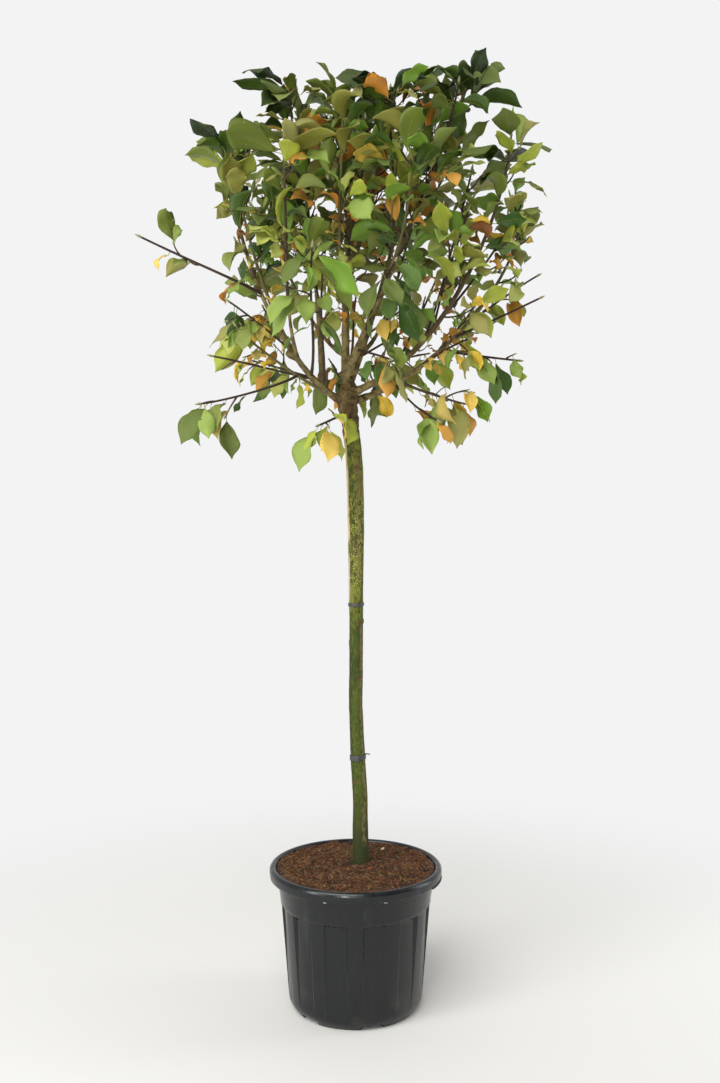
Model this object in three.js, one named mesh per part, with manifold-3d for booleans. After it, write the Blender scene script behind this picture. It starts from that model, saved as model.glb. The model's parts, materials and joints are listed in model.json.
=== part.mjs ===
// A young magnolia grown as a standard: one clear stem, a fork of upswept limbs and a
// vase-shaped leafy crown, standing in a black ribbed nursery pot.
//
// Millimetres, +Z up, +X to the right and +Y to the back. The origin is the centre of the
// pot's flat underside. Azimuths are degrees from +X, counter-clockwise seen from above.

import * as THREE from 'three';
import { mergeVertices } from 'three/addons/utils/BufferGeometryUtils.js';
import Module from 'manifold-3d';

const wasm = await Module();
wasm.setup();

// ---------------------------------------------------------------- driving dimensions

const GAP = 0.3;                      // clearance between touching sub-parts

const POT = {
  height: 391,
  rimRadius: 240,
  lipWidth: 19,                       // from the rim's outer face to the pot's bore
  lipThickness: 3,
  skirtHeight: 30,                    // how far the rim turns down
  wall: 3.2,
  collarRadius: 217,                  // plain collar, just under the rim
  shoulderRadius: 206,                // where the collar ends and the ribs begin
  shoulderHeight: 291,
  heelRadius: 186,                    // where the lower edge starts to turn in
  heelHeight: 34,
  baseRadius: 169,
  panels: 12,                         // shallow moulded panels between ribs
  panelHalfWidth: 8,                  // degrees
  panelEdge: 1.5,                     // degrees taken by the panel's sloping side
  panelDepth: 5.5,
  panelFoot: 46,                      // height of the panels' lower end
  panelHead: 285,                     // height of their upper end
  notchWidth: 34,                     // drainage notches in the lower edge
  notchHeight: 12,
  notchDepth: 7,
};

const SOIL = {
  edgeHeight: 383,                    // soil level against the pot's wall
  crownHeight: 386,                   // flat patch that the trunk stands on
  patchRadius: 44,
};

// Height above the origin, lean along X and diameter of the trunk, from the flat cut at
// soil level with its root flare, past the graft, to the head that the limbs leave.
const TRUNK_STATIONS = [
  [SOIL.crownHeight + GAP, 16, 56],
  [402, 15.6, 49],
  [430, 13.5, 46],
  [565, 12.5, 41.5],
  [690, 6, 40],
  [830, 0, 38],
  [1027, 2, 37.5],
  [1143, 1, 39.5],
  [1311, 1.5, 45],
  [1479, -2, 46],
  [1545, -6, 45],
  [1590, -12, 49.5],
  [1632, -18, 48],
  [1668, -22, 56],
  [1694, -25, 50],
  [1708, -26, 34],
];
const TRUNK_SWAY = 4;                 // the same stem's slight bend towards the back
const TRUNK_SWAY_WAVE = 320;
const TRUNK_SIDES = 14;

// Tie bands left on the stem: middle height, width and thickness.
const TIES = {
  lower_tie: { height: 690, width: 16, thickness: 2.2 },
  upper_tie: { height: 1115, width: 10, thickness: 2.2 },
};
const TIE_TAIL = { length: 15, width: 6, thickness: 2.5, azimuth: -12 };

const CROWN_CENTRE = [-10, 0];

// Every limb is one line of growth from its foot to the tip of its shoot. The bare part
// below `split` is a bough, and the rest is the stem of a mass of foliage.
//   parent, at   the limb it leaves and the share of that limb's length, or the height
//                on the trunk
//   azimuth, reach, top   where its tip is, about the crown's centre line
//   bow          1 runs straight to the tip, more sets off level and then sweeps up
//   foot         diameter at the foot
//   droop        how far its leaves hang
//   twig         longest side twig, with `fill` the share of the sites that are taken and
//   ring         the number of leaves round the stem's own tip
const LIMBS = {
  leader: { parent: 'trunk', at: 1694, azimuth: 108, reach: 62, top: 2520,
    bow: 1, foot: 27, split: 0.5, twig: 120, droop: 0.2, fill: 1, ring: 5 },
  leader_fork: { parent: 'leader', at: 0.4, azimuth: 28, reach: 120, top: 2530,
    bow: 1.25, foot: 17, split: 0.3, twig: 120, droop: 0.2, fill: 1, ring: 5 },
  front_leader: { parent: 'leader', at: 0.06, azimuth: -17, reach: 310, top: 2475,
    bow: 1.04, foot: 24, split: 0.36, twig: 140, droop: 0.2, fill: 1, ring: 6 },
  right_bough: { parent: 'trunk', at: 1694, azimuth: -18, reach: 435, top: 2325,
    bow: 1.5, foot: 21, split: 0.38, twig: 120, droop: 0.2, fill: 0.9, ring: 6 },
  right_rear_bough: { parent: 'trunk', at: 1670, azimuth: 16, reach: 490, top: 2170,
    bow: 1.4, foot: 20, split: 0.6, twig: 120, droop: 0.3, fill: 1, ring: 6 },
  left_bough: { parent: 'trunk', at: 1668, azimuth: -157, reach: 350, top: 2320,
    bow: 1.5, foot: 21, split: 0.62, twig: 130, droop: 0.2, fill: 1, ring: 6 },
  left_rear_bough: { parent: 'left_bough', at: 0.12, azimuth: 165, reach: 345, top: 2370,
    bow: 1.35, foot: 16, split: 0.42, twig: 130, droop: 0.2, fill: 1, ring: 6 },
  left_leader: { parent: 'left_bough', at: 0.15, azimuth: 150, reach: 175, top: 2535,
    bow: 1.08, foot: 16, split: 0.38, twig: 130, droop: 0.2, fill: 1, ring: 6 },
  rear_right_leader: { parent: 'trunk', at: 1700, azimuth: 30, reach: 235, top: 2560,
    bow: 1.2, foot: 19, split: 0.4, twig: 130, droop: 0.2, fill: 1, ring: 6 },
  rear_leader: { parent: 'trunk', at: 1690, azimuth: 96, reach: 290, top: 2520,
    bow: 1.3, foot: 19, split: 0.42, twig: 140, droop: 0.15, fill: 1, ring: 6 },
  rear_left_bough: { parent: 'rear_leader', at: 0.22, azimuth: 133, reach: 390, top: 2330,
    bow: 1.3, foot: 13, split: 0.4, twig: 140, droop: 0.25, fill: 1, ring: 6 },
  rear_right_bough: { parent: 'rear_right_leader', at: 0.18, azimuth: 60, reach: 400, top: 2330,
    bow: 1.3, foot: 13, split: 0.4, twig: 140, droop: 0.25, fill: 1, ring: 6 },
  front_right_wand: { parent: 'front_leader', at: 0.26, azimuth: -60, reach: 310, top: 2290,
    bow: 1.25, foot: 12, split: 0.4, twig: 120, droop: 0.25, fill: 1, ring: 6 },
  front_left_wand: { parent: 'left_bough', at: 0.3, azimuth: -122, reach: 320, top: 2260,
    bow: 1.25, foot: 12, split: 0.4, twig: 120, droop: 0.25, fill: 1, ring: 6 },
  front_wand: { parent: 'leader', at: 0.2, azimuth: -95, reach: 215, top: 2370,
    bow: 1.3, foot: 11, split: 0.5, twig: 110, droop: 0.25, fill: 1, ring: 6 },
  inner_right_wand: { parent: 'right_bough', at: 0.3, azimuth: -40, reach: 290, top: 2170,
    bow: 1.08, foot: 10, split: 0.3, twig: 110, droop: 0.4, fill: 0.9, ring: 5 },
  front_right_spray: { parent: 'front_leader', at: 0.17, azimuth: -70, reach: 320, top: 1990,
    bow: 1, foot: 8, split: 0.3, twig: 90, droop: 1.1, fill: 1, ring: 5 },
  front_left_spray: { parent: 'left_bough', at: 0.22, azimuth: -106, reach: 330, top: 2020,
    bow: 1.1, foot: 8, split: 0.4, twig: 90, droop: 1, fill: 1, ring: 5 },
  low_left_wand: { parent: 'left_bough', at: 0.07, azimuth: -162, reach: 320, top: 1860,
    bow: 1.15, foot: 10, split: 0.5, twig: 90, droop: 0.7, fill: 1, ring: 5 },
  low_left_spray: { parent: 'low_left_wand', at: 0.36, azimuth: -153, reach: 430, top: 1650,
    bow: 0.85, foot: 7, split: 0.5, twig: 80, droop: 1.2, fill: 1, ring: 5 },
  long_left_shoot: { parent: 'left_bough', at: 0.57, azimuth: -160, reach: 568, top: 2072,
    bow: 1, foot: 8, split: 0.2, twig: 40, droop: 0.6, fill: 1, ring: 0 },
  low_right_spray: { parent: 'right_rear_bough', at: 0.22, azimuth: -10, reach: 310, top: 1660,
    bow: 0.9, foot: 9, split: 0.16, twig: 120, droop: 1.3, fill: 1, ring: 8 },
  right_side_spray: { parent: 'right_rear_bough', at: 0.42, azimuth: 3, reach: 455, top: 1785,
    bow: 0.95, foot: 8, split: 0.3, twig: 90, droop: 1.1, fill: 0.8, ring: 3 },
  right_bare_twig: { parent: 'right_rear_bough', at: 0.49, azimuth: -3, reach: 505, top: 1945,
    bow: 1, foot: 7, split: 0.5, twig: 40, droop: 0.5, fill: 0, ring: 0 },
  right_bud_shoot: { parent: 'right_rear_bough', at: 0.54, azimuth: 12, reach: 530, top: 2030,
    bow: 0.95, foot: 6, split: 0.3, twig: 40, droop: 0.7, fill: 1, ring: 0 },
  rear_low_wand: { parent: 'rear_leader', at: 0.14, azimuth: 88, reach: 370, top: 2020,
    bow: 1.2, foot: 10, split: 0.45, twig: 110, droop: 0.6, fill: 0.9, ring: 5 },
  rear_left_spray: { parent: 'left_rear_bough', at: 0.3, azimuth: 140, reach: 340, top: 1960,
    bow: 1.1, foot: 8, split: 0.35, twig: 100, droop: 0.8, fill: 0.9, ring: 5 },
  trunk_spur: { parent: 'trunk', at: 1640, azimuth: -128, reach: 140, top: 1600,
    bow: 1, foot: 7, split: 0, twig: 60, droop: 1, fill: 1, ring: 3 },
};

const LIMB = {
  tip: 3.6,                           // diameter at the shoot's tip
  collar: 0.28,                       // how much wider the foot flares, as a share
  collarLength: 32,
  wiggle: 9,                          // sideways wander of the axis
  wiggleTurns: 5.2,
  sides: 6,
  step: 90,                           // length of one straight stretch
};

const FOLIAGE = {
  siteSpacing: 43,                    // between two leaves or twigs along a stem
  twigEvery: 2,                       // one site in so many carries a twig
  twigLeafSpacing: 30,
  twigFoot: 4.4,                      // diameter
  twigTip: 3.4,
  leafyShare: 0.75,                   // of a stem whose tip is bare
  ringSpacing: 12,                    // between the leaves round the end of a stem
  stemSides: 4,
  twigSides: 3,
  spaceMargin: 3,                     // kept back from the border with the next mass
  limbMargin: 3,                      // kept clear of trunk and boughs
  leafApart: 26,                      // least distance between the middles of two leaves
  turns: 9,                           // other ways round that a leaf may be tried
};

const LEAF = {
  length: 116,                        // from its foot to its tip
  spread: 0.2,                        // longer or shorter by up to this share
  width: 0.52,                        // of the length
  clearOf: 0.08,                      // from here on it crosses no other leaf
  belly: 0.4,                         // full width from here along its length
  shoulder: 0.72,                     // to here
  fold: 0.035,                        // how far its sides hang, of the length
  root: 0.8,                          // how far its foot is sunk past the twig's middle
};

const GOLDEN_ANGLE = Math.PI * (3 - Math.sqrt(5));
const UP = new THREE.Vector3(0, 0, 1);

// ---------------------------------------------------------------- small tools

// A seeded generator of numbers from 0 to 1, so that the tree grows the same every time.
function seededRandom(seed) {
  let state = seed >>> 0;
  return () => {
    state = (state + 0x6d2b79f5) >>> 0;
    let t = state;
    t = Math.imul(t ^ (t >>> 15), t | 1);
    t ^= t + Math.imul(t ^ (t >>> 7), t | 61);
    return ((t ^ (t >>> 14)) >>> 0) / 4294967296;
  };
}

function mix(a, b, share) {
  return a + (b - a) * share;
}

function radians(degrees) {
  return (degrees * Math.PI) / 180;
}

function polar(centre, azimuth, reach, height) {
  const angle = radians(azimuth);
  return new THREE.Vector3(
    centre[0] + reach * Math.cos(angle),
    centre[1] + reach * Math.sin(angle),
    height,
  );
}

// Turns a closed geometry into a solid for cutting and joining.
function toSolid(geometry) {
  const bare = geometry.clone();
  bare.deleteAttribute('normal');
  bare.deleteAttribute('uv');
  const merged = mergeVertices(bare, 1e-4);
  const skin = new wasm.Mesh({
    numProp: 3,
    vertProperties: new Float32Array(merged.attributes.position.array),
    triVerts: new Uint32Array(merged.index.array),
  });
  return new wasm.Manifold(skin);
}

// Turns a solid back into a geometry, dropping loose scraps and sealed hollows.
function toGeometry(solid) {
  const pieces = solid.decompose();
  const largest = pieces.reduce((best, piece) => (piece.volume() > best.volume() ? piece : best));
  const skin = largest.getMesh();
  const geometry = new THREE.BufferGeometry();
  geometry.setAttribute('position', new THREE.BufferAttribute(new Float32Array(skin.vertProperties), 3));
  geometry.setIndex(Array.from(skin.triVerts));
  geometry.computeVertexNormals();
  return geometry;
}

function geometryFrom(vertices, faces) {
  const geometry = new THREE.BufferGeometry();
  geometry.setAttribute('position', new THREE.Float32BufferAttribute(vertices.flat(), 3));
  geometry.setIndex(faces.flat());
  return geometry;
}

// A closed skin between rings of equally many vertices. The rings run along the skin and
// each is counter-clockwise seen from the last ring; both ends are closed flat.
function skinOfRings(rings) {
  const sides = rings[0].length;
  const at = (ring, side) => ring * sides + (side % sides);
  const faces = [];
  for (let ring = 0; ring < rings.length - 1; ring += 1) {
    for (let side = 0; side < sides; side += 1) {
      faces.push([at(ring, side), at(ring, side + 1), at(ring + 1, side + 1)]);
      faces.push([at(ring, side), at(ring + 1, side + 1), at(ring + 1, side)]);
    }
  }
  const last = rings.length - 1;
  for (let side = 1; side < sides - 1; side += 1) {
    faces.push([at(0, 0), at(0, side + 1), at(0, side)]);
    faces.push([at(last, 0), at(last, side), at(last, side + 1)]);
  }
  return geometryFrom(rings.flat(), faces);
}

// A closed, tapering round bar along a line of points. Its end faces lie square to the
// line, or to the directions given for them.
function taperedBar(points, radii, sides, ends = {}) {
  const rings = [];
  let across = null;
  points.forEach((point, i) => {
    const before = points[Math.max(i - 1, 0)];
    const after = points[Math.min(i + 1, points.length - 1)];
    const along = after.clone().sub(before).normalize();
    if (i === 0 && ends.first) along.copy(ends.first);
    if (i === points.length - 1 && ends.last) along.copy(ends.last);
    if (across === null) {
      const helper = Math.abs(along.z) < 0.9 ? UP : new THREE.Vector3(1, 0, 0);
      across = helper.clone().cross(along);
    }
    across.addScaledVector(along, -across.dot(along)).normalize();
    const over = along.clone().cross(across);
    const ring = [];
    for (let side = 0; side < sides; side += 1) {
      const angle = (2 * Math.PI * side) / sides;
      const vertex = point.clone();
      vertex.addScaledVector(across, radii[i] * Math.cos(angle));
      vertex.addScaledVector(over, radii[i] * Math.sin(angle));
      ring.push(vertex.toArray());
    }
    rings.push(ring);
  });
  return skinOfRings(rings);
}

// ---------------------------------------------------------------- pot and root ball

// The angles that the pot and the root ball are faceted at, four to each panel.
function potAngles() {
  const { panels, panelHalfWidth, panelEdge } = POT;
  const offsets = [-panelHalfWidth - panelEdge, -panelHalfWidth, panelHalfWidth, panelHalfWidth + panelEdge];
  const angles = [];
  for (let panel = 0; panel < panels; panel += 1) {
    const middle = (360 / panels) * (panel + 0.5);
    offsets.forEach((offset) => angles.push({
      angle: radians(middle + offset),
      inPanel: Math.abs(offset) <= panelHalfWidth,
    }));
  }
  return angles;
}

function potBodyRadius(height) {
  const { heelHeight, heelRadius, baseRadius, shoulderRadius, shoulderHeight, collarRadius } = POT;
  if (height < heelHeight) {
    return mix(baseRadius, heelRadius, Math.sin(((height / heelHeight) * Math.PI) / 2));
  }
  if (height < shoulderHeight) {
    return mix(heelRadius, shoulderRadius, (height - heelHeight) / (shoulderHeight - heelHeight));
  }
  const rimFoot = POT.height - POT.skirtHeight;
  return mix(shoulderRadius, collarRadius, (height - shoulderHeight) / (rimFoot - shoulderHeight));
}

// A lathe-like skin: a profile of [radius, height, recess], open at neither end, where the
// recess is how far the wall steps in over a panel.
function potSkin(profile) {
  const angles = potAngles();
  const rings = profile.map(([radius, height, recess = 0]) => angles.map(({ angle, inPanel }) => {
    const reach = radius - (inPanel ? recess : 0);
    return [reach * Math.cos(angle), reach * Math.sin(angle), height];
  }));
  return skinOfRings(rings);
}

function boreProfile(inset) {
  const { wall, heelHeight, shoulderHeight, height, rimRadius, lipWidth } = POT;
  const floor = wall + inset;
  return {
    floor: [potBodyRadius(0) - 4 * wall - inset, floor],
    heel: [potBodyRadius(heelHeight) - 3 * wall - inset, heelHeight],
    neck: [potBodyRadius(shoulderHeight) - 3 * wall - inset, shoulderHeight],
    mouth: [rimRadius - lipWidth - inset, height],
  };
}

function potGeometry() {
  const { height, rimRadius, lipThickness, skirtHeight, panelFoot, panelHead, panelDepth } = POT;
  const { heelHeight, shoulderHeight, notchWidth, notchHeight, notchDepth, panels } = POT;
  const underLip = height - lipThickness;
  const skirtFoot = height - skirtHeight;
  const bore = boreProfile(0);
  const shell = potSkin([
    [potBodyRadius(0), 0],
    [potBodyRadius(heelHeight), heelHeight],
    [potBodyRadius(panelFoot), panelFoot, panelDepth * 0.3],
    [potBodyRadius(panelHead), panelHead, panelDepth],
    [potBodyRadius(shoulderHeight), shoulderHeight],
    [potBodyRadius(underLip), underLip],
    [rimRadius - lipThickness, underLip],
    [rimRadius - lipThickness, skirtFoot],
    [rimRadius, skirtFoot],
    [rimRadius, height],
    bore.mouth,
    bore.neck,
    bore.heel,
    bore.floor,
  ]);
  let solid = toSolid(shell);
  for (let notch = 0; notch < panels / 2; notch += 1) {
    const box = new THREE.BoxGeometry(2 * notchDepth, notchWidth, 2 * notchHeight);
    box.translate(POT.baseRadius + 2, 0, 0);
    box.rotateZ(radians((360 / panels) * (2 * notch + 0.5)));
    solid = solid.subtract(toSolid(box));
  }
  return toGeometry(solid);
}

function rootBallGeometry() {
  const bore = boreProfile(GAP);
  const { edgeHeight, crownHeight, patchRadius } = SOIL;
  const [neckRadius, neckHeight] = bore.neck;
  const [mouthRadius, mouthHeight] = bore.mouth;
  const share = (edgeHeight - neckHeight) / (mouthHeight - neckHeight);
  const edgeRadius = mix(neckRadius, mouthRadius, share);
  return toGeometry(toSolid(potSkin([
    bore.floor,
    bore.heel,
    bore.neck,
    [edgeRadius, edgeHeight],
    [mix(patchRadius, edgeRadius, 0.6), mix(crownHeight, edgeHeight, 0.55)],
    [patchRadius, crownHeight],
  ])));
}

// ---------------------------------------------------------------- trunk and ties

function trunkPoint(height) {
  const last = TRUNK_STATIONS.length - 1;
  let i = TRUNK_STATIONS.findIndex((station) => station[0] > height);
  i = i < 1 ? (i === 0 ? 1 : last) : i;
  const [lowHeight, lowLean] = TRUNK_STATIONS[i - 1];
  const [highHeight, highLean] = TRUNK_STATIONS[i];
  const lean = mix(lowLean, highLean, (height - lowHeight) / (highHeight - lowHeight));
  return new THREE.Vector3(lean, TRUNK_SWAY * Math.sin(height / TRUNK_SWAY_WAVE), height);
}

// The trunk's solid, or the same solid grown outwards to cut its neighbours clear of it.
function trunkSolid(grow) {
  const points = TRUNK_STATIONS.map(([height]) => trunkPoint(height));
  const radii = TRUNK_STATIONS.map((station) => station[2] / 2 + grow);
  points[0].z -= grow;
  points[points.length - 1].z += grow;
  const rings = points.map((point, i) => {
    const ring = [];
    for (let side = 0; side < TRUNK_SIDES; side += 1) {
      const angle = (2 * Math.PI * side) / TRUNK_SIDES;
      ring.push([point.x + radii[i] * Math.cos(angle), point.y + radii[i] * Math.sin(angle), point.z]);
    }
    return ring;
  });
  return toSolid(skinOfRings(rings));
}

function trunkRadius(height) {
  const i = TRUNK_STATIONS.findIndex((station) => station[0] > height);
  const [lowHeight, , lowDiameter] = TRUNK_STATIONS[i - 1];
  const [highHeight, , highDiameter] = TRUNK_STATIONS[i];
  return mix(lowDiameter, highDiameter, (height - lowHeight) / (highHeight - lowHeight)) / 2;
}

function tieGeometry({ height, width, thickness }, grownTrunk, hasTail) {
  const middle = trunkPoint(height);
  const radius = trunkRadius(height) + GAP + thickness;
  const band = new THREE.CylinderGeometry(radius, radius, width, 24);
  band.rotateX(Math.PI / 2);
  band.translate(middle.x, middle.y, height);
  let solid = toSolid(band);
  if (hasTail) {
    const { length, width: high, thickness: wide, azimuth } = TIE_TAIL;
    const tail = new THREE.BoxGeometry(length, wide, high);
    tail.translate(radius + length / 2 - thickness, 0, 0);
    tail.rotateZ(radians(azimuth));
    tail.translate(middle.x, middle.y, height + width / 4);
    solid = solid.add(toSolid(tail));
  }
  return toGeometry(solid.subtract(grownTrunk));
}

// ---------------------------------------------------------------- limbs

// Settles where each limb starts and ends, parents first, and its wander from its seed.
function settleLimbs() {
  const settled = {};
  Object.entries(LIMBS).forEach(([name, row], index) => {
    const random = seededRandom(101 + index);
    const limb = { name, ...row, phase: 2 * Math.PI * random(), seed: 1001 + index };
    limb.start = row.parent === 'trunk' ? trunkPoint(row.at) : limbPoint(settled[row.parent], row.at);
    limb.end = polar(CROWN_CENTRE, row.azimuth, row.reach, row.top);
    limb.length = limb.start.distanceTo(limb.end);
    settled[name] = limb;
  });
  return settled;
}

function limbPoint(limb, share) {
  const { start, end, bow, phase, length } = limb;
  const level = 1 - (1 - share) ** bow;
  const rise = share ** bow;
  const dx = end.x - start.x;
  const dy = end.y - start.y;
  const run = Math.hypot(dx, dy);
  const wander = LIMB.wiggle * Math.min(1, length / 500)
    * (Math.sin(phase + LIMB.wiggleTurns * share) - Math.sin(phase)) * (1 - 0.5 * share);
  return new THREE.Vector3(
    start.x + dx * level - (wander * dy) / run,
    start.y + dy * level + (wander * dx) / run,
    start.z + (end.z - start.z) * rise,
  );
}

function limbRadius(limb, share) {
  const collar = LIMB.collar * limb.foot * Math.exp((-share * limb.length) / LIMB.collarLength);
  return (mix(limb.foot, LIMB.tip, share ** 0.85) + collar) / 2;
}

// Points and radii from one share of a limb's length to another.
function limbStretch(limb, from, to, step) {
  const count = Math.max(2, Math.round(((to - from) * limb.length) / step));
  const points = [];
  const radii = [];
  for (let i = 0; i <= count; i += 1) {
    const share = mix(from, to, i / count);
    points.push(limbPoint(limb, share));
    radii.push(limbRadius(limb, share));
  }
  return { points, radii };
}

// The limb's direction where its bough ends and its foliage begins.
function splitWay(limb) {
  return limbPoint(limb, limb.split + 0.01).sub(limbPoint(limb, limb.split)).normalize();
}

function boughSolid(limb, grow) {
  const { points, radii } = limbStretch(limb, 0, limb.split, LIMB.step);
  const way = splitWay(limb);
  points[points.length - 1].addScaledVector(way, grow - GAP / 2);
  const grownRadii = radii.map((radius) => radius + grow);
  return toSolid(taperedBar(points, grownRadii, LIMB.sides, { last: way }));
}

// ---------------------------------------------------------------- foliage

function distanceToSegment(point, a, b) {
  const run = b.clone().sub(a);
  const share = Math.min(1, Math.max(0, point.clone().sub(a).dot(run) / run.lengthSq()));
  return a.clone().addScaledVector(run, share).distanceTo(point);
}

function distanceToLine(point, line) {
  let least = Infinity;
  for (let i = 0; i < line.length - 1; i += 1) {
    least = Math.min(least, distanceToSegment(point, line[i], line[i + 1]));
  }
  return least;
}

// The space of a mass is all that lies nearer to its own stem than to any other's, and
// clear of the trunk and every bough.
function crownSpace(limbs) {
  const stems = Object.values(limbs).map((limb) => ({
    name: limb.name,
    line: limbStretch(limb, limb.split, 1, LIMB.step).points,
  }));
  const limbBalls = [];
  Object.values(limbs).filter((limb) => limb.split > 0).forEach((limb) => {
    const { points, radii } = limbStretch(limb, 0, limb.split, 8);
    points.forEach((point, i) => limbBalls.push({ point, radius: radii[i] }));
  });
  for (let height = SOIL.crownHeight; height < 1710; height += 8) {
    limbBalls.push({ point: trunkPoint(height), radius: 29 });
  }
  return { stems, limbBalls };
}

function inOwnSpace(points, name, space) {
  return points.every((point) => {
    const own = distanceToLine(point, space.stems.find((stem) => stem.name === name).line);
    return space.stems.every((stem) => (
      stem.name === name || distanceToLine(point, stem.line) > own + 2 * FOLIAGE.spaceMargin
    ));
  });
}

function leafHalfWidth(run, { length, width }) {
  const belly = LEAF.belly * length;
  const shoulder = LEAF.shoulder * length;
  if (run < belly) return (Math.max(0, run / belly) * width) / 2;
  if (run > shoulder) return (Math.max(0, (length - run) / (length - shoulder)) * width) / 2;
  return width / 2;
}

// How far the blade hangs below the level of its midrib, so far out from it.
function leafDrop(side, { length, width }) {
  return (LEAF.fold * length * Math.abs(side)) / (width / 2);
}

// The left rim, the midrib and the right rim of a leaf, as points close together.
function leafLines(leaf) {
  const { base, along, across, normal, length } = leaf;
  const { clearOf, belly, shoulder } = LEAF;
  const shares = [clearOf, 0.25, belly, (belly + shoulder) / 2, shoulder, 0.86, 1];
  return [-1, 0, 1].map((side) => shares.map((share) => {
    const half = leafHalfWidth(share * length, leaf);
    return base.clone()
      .addScaledVector(along, share * length)
      .addScaledVector(across, side * half)
      .addScaledVector(normal, -Math.abs(side) * leafDrop(half, leaf));
  }));
}

function leafClearOfLimbs(leaf, space) {
  const { base, along, across, normal, length } = leaf;
  return space.limbBalls.every(({ point, radius }) => {
    const offset = point.clone().sub(base);
    const room = radius + FOLIAGE.limbMargin;
    const run = offset.dot(along);
    if (run < -room || run > length + room) return true;
    if (Math.abs(offset.dot(normal)) > room + LEAF.fold * length) return true;
    return Math.abs(offset.dot(across)) > leafHalfWidth(run, leaf) + room;
  });
}

// Whether the rim or the midrib of one leaf passes through the blade of the other.
function leafPierces(leaf, blade) {
  return leaf.lines.some((line) => {
    const spots = line.map((point) => {
      const offset = point.clone().sub(blade.base);
      const side = offset.dot(blade.across);
      const lift = offset.dot(blade.normal) + leafDrop(side, blade);
      return { run: offset.dot(blade.along), side, lift };
    });
    return spots.slice(1).some((spot, i) => {
      const last = spots[i];
      if (spot.lift * last.lift > 0) return false;
      const share = last.lift / (last.lift - spot.lift);
      const side = Math.abs(mix(last.side, spot.side, share));
      return side < leafHalfWidth(mix(last.run, spot.run, share), blade) + 1;
    });
  });
}

function leavesApart(leaf, other) {
  const middle = leaf.base.clone().addScaledVector(leaf.along, leaf.length / 2);
  const otherMiddle = other.base.clone().addScaledVector(other.along, other.length / 2);
  const distance = middle.distanceTo(otherMiddle);
  if (distance < FOLIAGE.leafApart) return false;
  if (distance > (leaf.length + other.length) / 2) return true;
  return !leafPierces(leaf, other) && !leafPierces(other, leaf);
}

// One leaf on a twig: `way` is the twig's direction, `turn` the angle round it and `lean`
// how far the leaf opens from it. A leaf that does not fit is tried on the other sides of
// the twig before it is given up.
function placeLeaf(site, limb, space, placed) {
  const { base, way, turn, lean, roll, size } = site;
  const length = LEAF.length * size;
  const width = length * LEAF.width;
  const helper = Math.abs(way.z) < 0.9 ? UP : new THREE.Vector3(1, 0, 0);
  const side = helper.clone().cross(way).normalize();
  const front = way.clone().cross(side);
  for (let attempt = 0; attempt < FOLIAGE.turns; attempt += 1) {
    const angle = turn + attempt * GOLDEN_ANGLE;
    const opening = lean * (1 - 0.35 * (attempt / FOLIAGE.turns));
    const along = way.clone().multiplyScalar(Math.cos(opening));
    along.addScaledVector(side, Math.cos(angle) * Math.sin(opening));
    along.addScaledVector(front, Math.sin(angle) * Math.sin(opening));
    along.z -= limb.droop;
    along.normalize();
    const level = Math.abs(along.z) < 0.98 ? UP.clone() : side.clone();
    const across = level.cross(along).normalize();
    const normal = along.clone().cross(across);
    across.applyAxisAngle(along, roll);
    normal.applyAxisAngle(along, roll);
    const leaf = { base: base.clone(), along, across, normal, length, width };
    leaf.lines = leafLines(leaf);
    if (placed.every((other) => leavesApart(leaf, other))
      && inOwnSpace(leaf.lines.flat(), limb.name, space) && leafClearOfLimbs(leaf, space)) {
      placed.push(leaf);
      return leaf;
    }
  }
  return null;
}

// A side twig: it leaves the stem at an angle and bends upwards.
function placeTwig(site, limb, space) {
  const { base, way, turn, lean, length } = site;
  const helper = Math.abs(way.z) < 0.9 ? UP : new THREE.Vector3(1, 0, 0);
  const side = helper.clone().cross(way).normalize();
  const front = way.clone().cross(side);
  for (let attempt = 0; attempt < FOLIAGE.turns; attempt += 1) {
    const angle = turn + attempt * GOLDEN_ANGLE;
    const reach = length * (1 - 0.5 * (attempt / FOLIAGE.turns));
    const along = way.clone().multiplyScalar(Math.cos(lean));
    along.addScaledVector(side, Math.cos(angle) * Math.sin(lean));
    along.addScaledVector(front, Math.sin(angle) * Math.sin(lean));
    const middle = base.clone().addScaledVector(along, reach / 2);
    const rising = along.clone().addScaledVector(UP, limb.droop > 0.5 ? -0.2 : 0.5).normalize();
    const tip = middle.clone().addScaledVector(rising, reach / 2);
    const samples = [middle, middle.clone().lerp(tip, 0.5), tip];
    const clear = samples.every((point) => space.limbBalls.every(
      (ball) => ball.point.distanceTo(point) > ball.radius + FOLIAGE.limbMargin + FOLIAGE.twigFoot,
    ));
    if (clear && inOwnSpace(samples, limb.name, space)) {
      return { points: [base.clone(), middle, tip], along, rising, reach };
    }
  }
  return null;
}

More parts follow.
